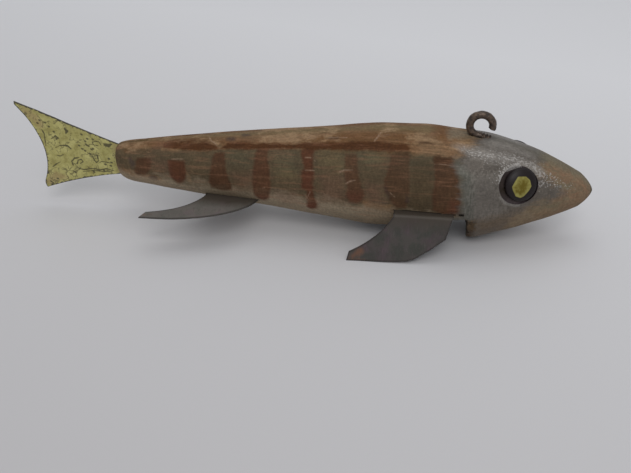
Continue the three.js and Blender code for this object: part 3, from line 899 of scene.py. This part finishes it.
def dress_fin(fin, kind):
    """Stores where a fin is brown at its root, which on the pectorals carries painted shade over the bend;
    where it is rusty or dark along its cut edges; and an even darkening, partly grime and partly painted
    shade, strongest on the pectorals
    """
    x, across, height = numbers(fin).T
    if kind == "pectoral":
        x, out = x - pectoral_station, -height - pectoral_drop
        falls = [pectoral_fall * k / 40 for k in range(41)]
        rims = [[(edge(fall), fall, 0.0) for fall in falls]
                for edge in (pectoral_rear_edge, pectoral_front_edge)]
        rusty = [[(-11.3, 12.4, 0.9), (-9.2, 10.8, 1.3)], [(-12.2, 13.2, 0.4), (-8, 13.4, 0.3)]]
        # The pectorals are darkened more than the pelvics, partly grime and partly painted shade
        root, grime_and_shade, polish = 1.4 - out, 0.8, 0.0
    else:
        x, out = x - pelvic_station, np.abs(across)
        rims = [rim_route(edge, 1) for edge in (pelvic_rear, pelvic_front)]
        rusty = [[(-15.5, 22.5, 0.3), (-13.8, 21.9, 0.5)]]
        root, grime_and_shade, polish = 12.5 - out - 0.15 * np.abs(x - 8), 0.1, 1.0
    for name, values in (
        ("polish", np.full(len(x), polish)), ("dark_edge", 0.3 + drawn(rims, x, out)),
        ("rust", drawn(rusty, x, out)), ("brown_root_and_shade", root), ("grime_and_shade", np.full(len(x), grime_and_shade)),
    ):
        keep(fin, name, values)


for hand, side in (("right", -1), ("left", 1)):
    for kind, make in (("pectoral", pectoral), ("pelvic", pelvic)):
        fin = make(side, "sheet_" + kind + "_" + hand)
        dress_fin(fin, kind)
        edit(fin)
        turn_outward()
        settle(fin)
        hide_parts(kind + "_fin_" + hand)
        fins.append(fin)

# Line eye: one round wire spun into an open ring, its shank screwed into the back
ring_radius = (line_across - line_wire) / 2
ring_centre = Vector((line_station, 0, line_surface - 1 + line_across / 2))
ring_gap = math.radians(72)
wire_sides, wire_round = 24, line_wire / ring_radius / 4
ring_start = wire_round - math.pi / 2
line_eye = started(bpy.ops.mesh.primitive_circle_add, "rusty_line_eye", vertices=wire_sides,
                   radius=line_wire / 2, fill_type="NGON")
out = Vector((math.cos(ring_start), 0, math.sin(ring_start)))
for k, vertex in enumerate(line_eye.data.vertices):
    turn = 2 * math.pi * k / wire_sides
    vertex.co = (ring_centre + out * (ring_radius + line_wire / 2 * math.cos(turn))
                 + Vector((0, line_wire / 2 * math.sin(turn), 0)))
edit(line_eye)
bpy.ops.mesh.spin(steps=72, angle=2 * math.pi - ring_gap + wire_round, center=ring_centre, axis=(0, -1, 0))
turn_outward()
shank_low, shank_high = line_surface - 10, ring_centre.z - ring_radius + 0.2
shank = started(bpy.ops.mesh.primitive_cylinder_add, vertices=wire_sides, radius=line_wire / 2,
                depth=shank_high - shank_low, location=(line_station, 0, (shank_high + shank_low) / 2))
bpy.ops.object.transform_apply(location=True, rotation=True, scale=True)
combine(line_eye, shank, "UNION")

# The screw's first threads show in front of the ring, where it is bent down into the wood
stub_from = Vector((line_station - 0.4, 0, line_surface + 0.35))
stub_to = Vector((line_station + 2.9, 0, line_surface - 0.75))
stub = started(bpy.ops.mesh.primitive_cylinder_add, vertices=wire_sides, radius=0.95,
               depth=(stub_to - stub_from).length)
lean = (stub_to - stub_from).to_track_quat("Z", "Y").to_matrix().to_4x4()
stub.data.transform(Matrix.Translation((stub_from + stub_to) / 2) @ lean)
combine(line_eye, stub, "UNION")
finish(line_eye, "REMESH", mode="VOXEL", voxel_size=0.15)
stub_line = (stub_to - stub_from).normalized()
thread_pitch = 1.05
for vertex, facing in zip(line_eye.data.vertices, facings(line_eye)):
    x, y, z = vertex.co
    swell = 0.1 * rough((x, y, z), 1.7, 1.0) + 0.06 * rough((x, y, z), 0.6, 2.0)
    run = (vertex.co - stub_from).dot(stub_line)
    if z < line_surface + 1.6 and run > 0.3:
        twist = math.atan2(y, z - line_surface) / (2 * math.pi)
        swell += 0.24 * math.sin(2 * math.pi * (run / thread_pitch + twist)) * min(1, run - 0.3)
    vertex.co = vertex.co + facing * swell
    vertex.co.z = min(vertex.co.z, ring_centre.z + line_across / 2 - 0.01)
settle(line_eye)
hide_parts("line_eye")

# Tack eyes: a pressed dome with a rolled rim on a pointed shank, the left one not driven home
tacks = []
sits_proud = {-1: 0.0, 1: 0.45}
dome_radius, dome_rise, dome_steps = 5.14, 1.6, 12
head_scale, head_shift = 0.955, 0.25
for hand, side in (("right", -1), ("left", 1)):
    point, outward, rearward, upward, seat_middle, turn = tack_frames[side]
    profile = [(0, -tack_shank), (0.25, -7.4), (0.65, -6), (0.65, -0.05), (4.7, -0.05), (5.05, 0.0),
               (tack_radius, 0.22), (dome_radius, 0.5)]
    for k in range(1, dome_steps + 1):
        lean = math.pi / 2 * k / dome_steps
        profile.append((dome_radius * math.cos(lean) ** 0.9, 0.5 + dome_rise * math.sin(lean)))
    profile[-1] = (0, profile[-1][1])
    tack = started(bpy.ops.mesh.primitive_circle_add, "enamel_tack_" + hand, vertices=len(profile),
                   radius=1, fill_type="NOTHING")
    for vertex, (out, up) in zip(tack.data.vertices, profile):
        vertex.co = (out, 0, up)
    edit_edges(tack, lambda edge: set(edge.vertices) == {0, len(profile) - 1})
    bpy.ops.mesh.delete(type="EDGE")
    bpy.ops.mesh.select_all(action="SELECT")
    bpy.ops.mesh.spin(steps=72, angle=2 * math.pi, center=(0, 0, 0), axis=(0, 0, 1))
    bpy.ops.mesh.select_all(action="SELECT")
    bpy.ops.mesh.remove_doubles(threshold=0.001)
    turn_outward()
    # The head sits a little forward and up on its shank
    shift = turn.to_3x3().transposed() @ (upward - rearward) * head_shift
    for vertex in tack.data.vertices:
        if math.hypot(vertex.co.x, vertex.co.y) > 0.7 or vertex.co.z > 0:
            vertex.co.x = head_scale * vertex.co.x + shift.x
            vertex.co.y = head_scale * vertex.co.y + shift.y
    tack.data.transform(
        Matrix.Translation(point + outward * (clearance - seat_depth + sits_proud[side])) @ turn)
    settle(tack)
    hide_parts("eye_tack_" + hand)
    tacks.append(tack)


# Materials
def paint(code):
    """A colour given as it looks on a screen, turned to linear light"""
    value = [int(code[i:i + 2], 16) / 255 for i in (1, 3, 5)]
    return [v / 12.92 if v <= 0.04045 else ((v + 0.055) / 1.055) ** 2.4 for v in value] + [1]


def add(tree, kind, inputs=(), out=0, **settings):
    """Adds one node with its settings, sets or links its inputs, and gives one of its outputs"""
    made = tree.nodes.new("ShaderNode" + kind)
    for name, value in settings.items():
        setattr(made, name, value)
    given = inputs.items() if isinstance(inputs, dict) else enumerate(inputs)
    for socket, value in given:
        if isinstance(value, bpy.types.NodeSocket):
            tree.links.new(value, made.inputs[socket])
        else:
            made.inputs[socket].default_value = value
    return made.outputs[out] if made.outputs else None


# A node that mixes colours has its share in socket 0, and its two colours in sockets 6 and 7
in_colour = {"out": 2, "data_type": "RGBA"}


def new_material(name, *pieces):
    """An empty material on its pieces, and the place on the object that its patterns follow"""
    material = bpy.data.materials.new(name)
    material.use_nodes = True
    tree = material.node_tree
    tree.nodes.clear()
    for piece in pieces:
        piece.data.materials.clear()
        piece.data.materials.append(material)
    return tree, add(tree, "TexCoord", out="Object")


# Old oil paint on softwood, rubbed through: grain streaks, ragged brush edges, hardly any sheen
tree, where = new_material("old_oil_paint_on_softwood", body)

# Noises: how far each is drawn out, its grain in millimetres, its detail and its roughness
fields = {}
for name, drawn_out, size, detail, roughness in (
    ("flakes", (2, 1, 1), 1.1, 3, 0.65),
    ("rubs", (3, 1, 1), 3.5, 2, 0.6),
    ("grain", (6, 1, 1), 0.7, 4, 0.7),
    ("long_grain", (14, 1, 1), 0.9, 3, 0.6),
    ("mottle", (1.2, 1, 1), 5, 3, 0.6),
    ("specks", (1.3, 1, 1), 0.55, 2, 0.6),
    ("dust", (1.6, 1, 1), 0.42, 1, 0.5),
    ("blotches", (1.8, 1, 1), 1.9, 3, 0.65),
    ("bristle", (1, 1, 5), 0.6, 2, 0.6),
    ("grainy_rubs", (6, 1, 1), 1.6, 3, 0.6),
):
    squeezed = add(tree, "Mapping", {"Vector": where, "Scale": [1 / length for length in drawn_out]})
    fields[name] = add(tree, "TexNoise", {
        "Vector": squeezed, "Scale": 1 / (size * millimetre), "Detail": detail, "Roughness": roughness})
fields["ragged"] = add(tree, "Mix", {0: 0.55, 2: fields["flakes"], 3: fields["rubs"]})
# Part of the range of a noise, turned into a share or a factor and held at its ends
for name, source, low, high, least, most in (
    ("wood_turn", "grain", 0.33, 0.67, 0.0, 1.0),
    ("foxy", "mottle", 0.42, 0.62, 0.0, 0.35),
    ("pale_lines", "long_grain", 0.54, 0.7, 0.0, 0.45),
    ("rubbed", "rubs", 0.36, 0.52, 0.8, 1.0),
    ("grain_light", "grain", 0.3, 0.7, 0.91, 1.09),
    ("speck_light", "specks", 0.3, 0.7, 0.84, 1.16),
    ("bristle_light", "bristle", 0.3, 0.7, 0.88, 1.12),
    ("thin_lines", "long_grain", 0.6, 0.7, 0.0, 1.0),
    ("thin_rubs", "rubs", 0.5, 0.62, 0.0, 0.05),
):
    fields[name] = add(tree, "MapRange", (fields[source], low, high, least, most))

# Bare softwood under everything, tan with darker grain and a foxy tinge in places
colour = add(tree, "Mix", {0: fields["wood_turn"], 6: paint("#66523c"), 7: paint("#7e6549")}, **in_colour)
for share, shade in (("foxy", "#7b583d"), ("pale_lines", "#988060")):
    colour = add(tree, "Mix", {0: fields[share], 6: colour, 7: paint(shade)}, **in_colour)

# Each layer: the stored edge, how far the edge is ragged and how soft it is in millimetres,
# how much of the layer holds, its two shades, the noise that turns between them and the
# noise that its edge is torn by
layers = [
    ("ground", 2.4, 1.0, 0.95, "#433a2c", "#5f503a", "mottle", "ragged"),
    ("khaki", 4.5, 3.0, 0.26, "#6e6244", "#857653", "mottle", "grainy_rubs"),
    ("green", 3.5, 3.0, 0.4, "#413f2d", "#595744", "mottle", "ragged"),
    ("stained", 3.0, 2.5, 0.5, "#382d1e", "#473926", "mottle", "ragged"),
    ("belly", 5.0, 3.5, 0.75, "#857561", "#9c8f79", "mottle", "ragged"),
    ("thin_back", 6.0, 2.4, 0.62, "#61452f", "#7b5a43", "flakes", "blotches"),
    ("ridge_wash", 4.0, 3.0, 0.55, "#5e563a", "#7c7050", "grain", "ragged"),
    ("stripe_wash", 4.5, 3.5, 0.66, "#573a1e", "#6e4c2b", "grainy_rubs", "ragged"),
    ("neck_grey", 3.0, 2.5, 0.6, "#676152", "#7f7766", "mottle", "blotches"),
    ("pale_wood", 6.5, 2.6, 0.52, "#8f7556", "#ab9172", "flakes", "blotches"),
    ("bar_edge", 0.9, 0.9, 1.0, "#413020", "#4e3926", "mottle", "ragged"),
    ("fresh_red", 1.6, 2.0, 0.5, "#512c1f", "#613626", "mottle", "ragged"),
    ("stripe", 1.5, 0.8, 0.97, "#3f2410", "#513015", "mottle", "ragged"),
    ("rosy", 3.5, 3.5, 0.28, "#6c4a3c", "#825f50", "flakes", "ragged"),
    ("dark_brown", 1.4, 0.8, 0.75, "#3b2715", "#492f1b", "flakes", "ragged"),
    ("snout_stain", 5.0, 3.0, 0.76, "#6f6452", "#87775e", "blotches", "ragged"),
    ("snout_streaks", 0.25, 0.14, 0.4, "#835a44", "#966b52", "mottle", "long_grain"),
    ("snout_grey", 4.0, 3.0, 0.55, "#5c5b4a", "#73715e", "mottle", "blotches"),
    ("head", 4.0, 3.0, 0.94, "#534d47", "#6c665f", "mottle", "grainy_rubs"),
    # Painted shade below the brow
    ("head_painted_shade", 4.0, 5.0, 0.4, "#45403b", "#544e48", "mottle", "ragged"),
    ("head_rear", 2.0, 2.0, 0.5, "#51534a", "#666860", "mottle", "ragged"),
    ("jaw_stain", 5.0, 4.0, 0.5, "#64523c", "#756048", "grain", "ragged"),
    # Greenish crown, partly a painted highlight on the top
    ("crown", 4.0, 3.0, 0.35, "#5e5c4f", "#757163", "mottle", "ragged"),
    # Painted highlight along the brow
    ("brow_painted_highlight", 3.0, 3.0, 0.64, "#827d78", "#969088", "flakes", "ragged"),
    ("torn_edge", 2.6, 1.0, 0.85, "#33291c", "#6a5339", "flakes", "bristle"),
    ("smudge", 1.2, 1.0, 0.62, "#372a24", "#463a38", "flakes", "ragged"),
    ("hatched", 4.5, 1.6, 0.25, "#77716a", "#8d8881", "mottle", "bristle"),
    ("flecks", 7.0, 1.8, 0.62, "#9c9791", "#bcb8b4", "mottle", "dust"),
    # Pale seat rims: partly rubbed wood, partly painted highlight
    ("seat_rim_wear_and_highlight", 0.5, 0.5, 0.5, "#7c7872", "#9b9791", "flakes", "ragged"),
    ("scratches", 0.35, 0.3, 0.55, "#927864", "#ab927c", "flakes", "ragged"),
    ("inked", 0.12, 0.2, 0.95, "#3d3437", "#4b4144", "mottle", "ragged"),
    ("chips", 2.6, 0.5, 0.8, "#8d8984", "#b5b1ac", "flakes", "dust"),
    ("nose_rim", 0.5, 0.8, 0.7, "#34342a", "#42432f", "flakes", "ragged"),
]
# Stored edges that follow from the others
keep(body, "ground", -bare)
keep(body, "belly", (-12 - round_angle) * per_degree)
keep(body, "ridge_wash", (round_angle - 80) * per_degree - np.clip(along - 96, 0, 10))
keep(body, "snout_stain", snout)
keep(body, "snout_streaks", np.clip((along - 124) / 12, 0, 1) * 0.12 - 0.08)
keep(body, "jaw_stain", np.minimum(along - 112, (-14 - round_angle) * per_degree))
# The crown's greenish grey, made lighter as a painted highlight on the top of the head
keep(body, "crown", np.minimum((round_angle - 80) * per_degree, along - 114))
keep(body, "nose_rim", along - body_length + 0.7)
masks = {}
for name, raggedness, softness, hold, dark, light, turning, tearing in layers:
    edge = add(tree, "Attribute", out="Fac", attribute_name=name)
    broken = add(tree, "Math", (fields[tearing], raggedness * 2, edge), operation="MULTIPLY_ADD")
    mask = add(tree, "MapRange", (broken, raggedness - softness / 2, raggedness + softness / 2, 0, hold))
    shade = add(tree, "Mix", {0: fields[turning], 6: paint(dark), 7: paint(light)}, **in_colour)
    if name == "bar_edge":
        # Thin paint: red-brown where it is fresh, thick and dark along its rim, and rubbed
        # in streaks along the grain
        held = add(tree, "Attribute", out="Fac", attribute_name="bar_hold")
        for factor in (fields["rubbed"], held):
            mask = add(tree, "Math", (mask, factor), operation="MULTIPLY")
        red = add(tree, "Attribute", out="Fac", attribute_name="bar_red")
        thick = add(tree, "MapRange", (edge, 0.3, 1.3, 0.35, 0))
        for share, over in ((red, "#583320"), (thick, "#43291a")):
            shade = add(tree, "Mix", {0: share, 6: shade, 7: paint(over)}, **in_colour)
    colour = add(tree, "Mix", {0: mask, 6: colour, 7: shade}, **in_colour)
    masks[name] = mask

# Fine streaks along the grain and brush marks across it show through all of the paint
for name in ("grain_light", "speck_light", "bristle_light"):
    colour = add(tree, "Mix", {0: 1, 6: colour, 7: fields[name]}, blend_type="MULTIPLY", **in_colour)
thin_places = add(tree, "Math", (fields["thin_lines"], fields["thin_rubs"]), operation="MULTIPLY")
colour = add(tree, "Mix", {0: thin_places, 6: colour, 7: paint("#9b8568")}, **in_colour)
# Wood inside the cuts, darker the deeper it lies: partly dirty wood and partly painted shade in the
# recesses
cut = add(tree, "MapRange", (
    add(tree, "Attribute", out="Fac", attribute_name="cut_depth"), 0.45, 1.4, 0, 0.92))
cut_dirt_and_shade = add(tree, "Mix", {0: fields["grain"], 6: paint("#1f1a13"), 7: paint("#3a3022")}, **in_colour)
colour = add(tree, "Mix", {0: cut, 6: colour, 7: cut_dirt_and_shade}, **in_colour)
# The head's silver paint has some of the sheen of metal
height = add(tree, "Math", (fields["flakes"], 0.5, fields["grain"]), operation="MULTIPLY_ADD")
add(tree, "OutputMaterial", {"Surface": add(tree, "BsdfPrincipled", {
    "Base Color": colour, "Specular IOR Level": 0.16,
    "Roughness": add(tree, "MapRange", (masks["head"], 0, 1, 0.72, 0.42)),
    "Metallic": add(tree, "MapRange", (masks["head"], 0, 1, 0, 0.35)),
    "Normal": add(tree, "Bump", {"Height": height, "Strength": 0.5, "Distance": 0.14 * millimetre})})})

# Pale yellow oil paint on tin-plate, crazed and chipped to dark metal at the edges
tree, where = new_material("yellow_oil_paint_on_tinplate", tail)
mottle = add(tree, "TexNoise", {
    "Vector": where, "Scale": 1 / (3.5 * millimetre), "Detail": 4, "Roughness": 0.65})
specks = add(tree, "TexNoise", {
    "Vector": where, "Scale": 1 / millimetre, "Detail": 3, "Roughness": 0.7})
# Craze lines between flakes of 2.6 mm, bent by the mottling
bend = add(tree, "TexNoise", {"Vector": where, "Scale": 1 / (1.8 * millimetre), "Detail": 2}, "Color")
bent_place = add(tree, "Mix", {0: 0.0016, 6: where, 7: bend}, blend_type="LINEAR_LIGHT", **in_colour)
crazing = add(tree, "TexVoronoi", {"Vector": bent_place, "Scale": 1 / (2.6 * millimetre)}, "Distance",
              feature="DISTANCE_TO_EDGE")
crazed = add(tree, "Math", (
    add(tree, "MapRange", (crazing, 0.03, 0.1, 0.8, 0)),
    add(tree, "MapRange", (mottle, 0.49, 0.56))), operation="MULTIPLY")
turned = add(tree, "MapRange", (mottle, 0.38, 0.62))
colour = add(tree, "Mix", {0: turned, 6: paint("#9f9756"), 7: paint("#bbb472")}, **in_colour)
stored = {}
for name, factor in (("rim", -1.6), ("rosy", 3.0), ("worn_lines", 0.5), ("pits", 0)):
    stored[name] = add(tree, "Attribute", out="Fac", attribute_name=name)
    if factor:
        stored[name] = add(tree, "Math", (specks, factor, stored[name]), operation="MULTIPLY_ADD")
for source, low, high, hold, shade in (
    (stored["rosy"], 0.8, 2.4, 0.5, "#9a7d5c"),
    (mottle, 0.44, 0.34, 0.4, "#847a46"),
    (crazed, 0.0, 1.0, 0.9, "#554d2c"),
    (specks, 0.6, 0.68, 0.75, "#5c5430"),
    (stored["worn_lines"], 0.12, 0.3, 0.88, "#3f3a22"),
    (stored["pits"], -0.2, 0.02, 0.85, "#3f3a24"),
    (stored["rim"], -0.38, -0.6, 0.95, "#34312a"),
):
    mask = add(tree, "MapRange", (source, low, high, 0, hold))
    colour = add(tree, "Mix", {0: mask, 6: colour, 7: paint(shade)}, **in_colour)
add(tree, "OutputMaterial", {"Surface": add(tree, "BsdfPrincipled", {
    "Base Color": colour, "Roughness": 0.45,
    "Normal": add(tree, "Bump", {"Height": mottle, "Strength": 0.4, "Distance": 0.1 * millimetre})})})

# Dark grey paint on tin-plate, dulled, with fine handling scratches and rust coming through
tree, where = new_material("dull_grey_paint_on_tinplate", *fins)
# Scratches of 0.8 mm, drawn out along and down the fin, and stains of 5 mm
streaky = add(tree, "Mapping", {"Vector": where, "Rotation": (0, 0.35, 0), "Scale": (1, 0.3, 0.22)})
scuffs = add(tree, "TexNoise", {
    "Vector": streaky, "Scale": 1 / (0.8 * millimetre), "Detail": 4, "Roughness": 0.7})
stains = add(tree, "TexNoise", {
    "Vector": where, "Scale": 1 / (5 * millimetre), "Detail": 2, "Roughness": 0.5})
worn = add(tree, "Math", (
    scuffs, 0.75, add(tree, "Math", (stains, 0.25), operation="MULTIPLY")), operation="MULTIPLY_ADD")
worn = add(tree, "MapRange", (worn, 0.38, 0.62))
colour = add(tree, "Mix", {0: worn, 6: paint("#4a4541"), 7: paint("#6e6862")}, **in_colour)
moved_place = add(tree, "Mapping", {"Vector": where, "Location": (0.3, 0.1, 0.2)})
green_stains = add(tree, "TexNoise", {
    "Vector": moved_place, "Scale": 1 / (4.2 * millimetre), "Detail": 3, "Roughness": 0.6})
scuffed = add(tree, "Math", (scuffs, 0.5), operation="SUBTRACT")
for source, low, high, hold, shade in (
    (stains, 0.46, 0.6, 0.8, "#5b4a50"),
    (green_stains, 0.46, 0.6, 0.75, "#40463d"),
    (scuffs, 0.54, 0.66, 0.55, "#857e79"),
    ("polish", 0.0, 1.0, 0.5, "#7b756f"),
    # Even darkening, partly grime and partly painted shade
    ("grime_and_shade", 0.0, 1.0, 0.75, "#34302d"),
    # Brown at the root, carried over the pectoral's bend as painted shade
    ("brown_root_and_shade", -3.5, 1.0, 0.85, "#433b32"),
    ("rust", -0.4, 1.2, 0.7, "#76503a"),
    ("dark_edge", -0.25, 0.1, 0.7, "#2f2a27"),
):
    if isinstance(source, str):
        edge = add(tree, "Attribute", out="Fac", attribute_name=source)
        source = add(tree, "Math", (scuffed, min(3 * high, 3), edge), operation="MULTIPLY_ADD")
    mask = add(tree, "MapRange", (source, low, high, 0, hold))
    colour = add(tree, "Mix", {0: mask, 6: colour, 7: paint(shade)}, **in_colour)
add(tree, "OutputMaterial", {"Surface": add(tree, "BsdfPrincipled", {
    "Base Color": colour, "Roughness": 0.55, "Specular IOR Level": 0.35, "Metallic": 0.15,
    "Normal": add(tree, "Bump", {"Height": scuffs, "Strength": 0.3, "Distance": 0.08 * millimetre})})})

# Iron wire, rusted brown-black with a dull sheen where it is handled
tree, where = new_material("rusted_iron_wire", line_eye)
rust = add(tree, "TexNoise", {
    "Vector": where, "Scale": 1 / (1.2 * millimetre), "Detail": 5, "Roughness": 0.65})
rusted = add(tree, "MapRange", (rust, 0.4, 0.62))
colour = add(tree, "Mix", {0: rusted, 6: paint("#3b332e"), 7: paint("#6a594b")}, **in_colour)
add(tree, "OutputMaterial", {"Surface": add(tree, "BsdfPrincipled", {
    "Base Color": colour, "Roughness": 0.36, "Metallic": 0.5,
    "Normal": add(tree, "Bump", {"Height": rust, "Strength": 0.7, "Distance": 0.2 * millimetre})})})

# Black enamel on a steel tack, with a dab of yellow paint on its crown
tree, where = new_material("black_enamel_with_yellow_dab", *tacks)
dab = add(tree, "Attribute", out="Fac", attribute_name="dab")
thick = add(tree, "TexNoise", {"Vector": where, "Scale": 1 / (1.1 * millimetre), "Detail": 3})
# The dab is pale at its rim and ochre in the middle, where it lies thin
thinned = add(tree, "Math", (thick, 4.5, dab), operation="MULTIPLY_ADD")
thinned = add(tree, "MapRange", (thinned, 2.2, 4))
yellow = add(tree, "Mix", {0: thinned, 6: paint("#8d8647"), 7: paint("#625512")}, **in_colour)
inside = add(tree, "MapRange", (dab, -0.08, 0.08))
colour = add(tree, "Mix", {0: inside, 6: paint("#1b1414"), 7: yellow}, **in_colour)
add(tree, "OutputMaterial", {"Surface": add(tree, "BsdfPrincipled", {
    "Base Color": colour, "Roughness": 0.42, "Specular IOR Level": 0.26})})
dab_corners = [(-1.4, 2.7), (1, 2.8), (2.3, 1.8), (2.9, 0), (2.3, -1.2), (0.9, -3),
               (0, -3.5), (-1.5, -3.1), (-2.6, -1.3), (-2.9, -0.3), (-2.2, 1.3)]
for tack, side in zip(tacks, (-1, 1)):
    point, outward, rearward, upward, seat_middle, turn = tack_frames[side]
    from_row_frame = to_row_frame.inverted()
    depths = []
    for vertex in tack.data.vertices:
        local = from_row_frame @ vertex.co - point
        x, z = -local.dot(rearward), local.dot(upward)
        depth = 50.0
        for (x0, z0), (x1, z1) in zip(dab_corners, dab_corners[1:] + dab_corners[:1]):
            run = math.hypot(x1 - x0, z1 - z0)
            depth = min(depth, ((x1 - x0) * (z0 - z) - (x0 - x) * (z1 - z0)) / run)
        depths.append(depth if local.dot(outward) > -1.25 else -5)
    keep(tack, "dab", depths)

# Floor, light and camera
floor_width = 4
floor = started(bpy.ops.mesh.primitive_plane_add, "pale_table", size=floor_width)
# Painted shade: the table is a little darker towards its near left corner
tree, where = new_material("pale_painted_table", floor)
x, y = (add(tree, "SeparateXYZ", (where,), axis) for axis in ("X", "Y"))
painted_corner_shade = add(tree, "Math", (x, 0.35, y), operation="MULTIPLY_ADD")
painted_corner_shade = add(tree, "MapRange", (painted_corner_shade, -0.15, 0.18))
colour = add(tree, "Mix", {0: painted_corner_shade, 6: paint("#bfbdbe"), 7: paint("#e3e3e5")}, **in_colour)
add(tree, "OutputMaterial", {"Surface": add(tree, "BsdfPrincipled", {
    "Base Color": colour, "Roughness": 0.55})})

world = bpy.data.worlds.new("pale_room")
bpy.context.scene.world = world
world.use_nodes = True
sky = world.node_tree.nodes["Background"]
sky.inputs["Color"].default_value = paint("#eef0f4")
sky.inputs["Strength"].default_value = 0.54


def aimed(name, data, place, looking):
    """Adds a light or the camera at its place, turned the way it looks"""
    made = bpy.data.objects.new(name, data)
    bpy.context.scene.collection.objects.link(made)
    made.location = place
    made.rotation_euler = Vector(looking).to_track_quat("-Z", "Y").to_euler()
    return made


lamp_size = 0.6
for name, place, power in (
    ("ceiling_light", (0.04, 0.1, 0.75), 1.0), ("front_light", (0.12, -0.8, 0.9), 4.3),
):
    lamp = bpy.data.lights.new(name, "AREA")
    lamp.shape = "SQUARE"
    lamp.size = lamp_size
    lamp.energy = power
    aimed(name, lamp, place, -Vector(place))

# The lens sees 40 degrees across, from a little above the fish and towards its nose
camera_place, camera_view = (0.034617, -0.238158, 0.143642), (-0.10335, 0.84173, -0.52992)
optics = bpy.data.cameras.new("photo_camera")
optics.lens = 49.455
optics.sensor_width = 36
optics.clip_start = 0.01
bpy.context.scene.camera = aimed("photo_camera", optics, camera_place, camera_view)
bpy.context.scene.view_settings.view_transform = "Standard"
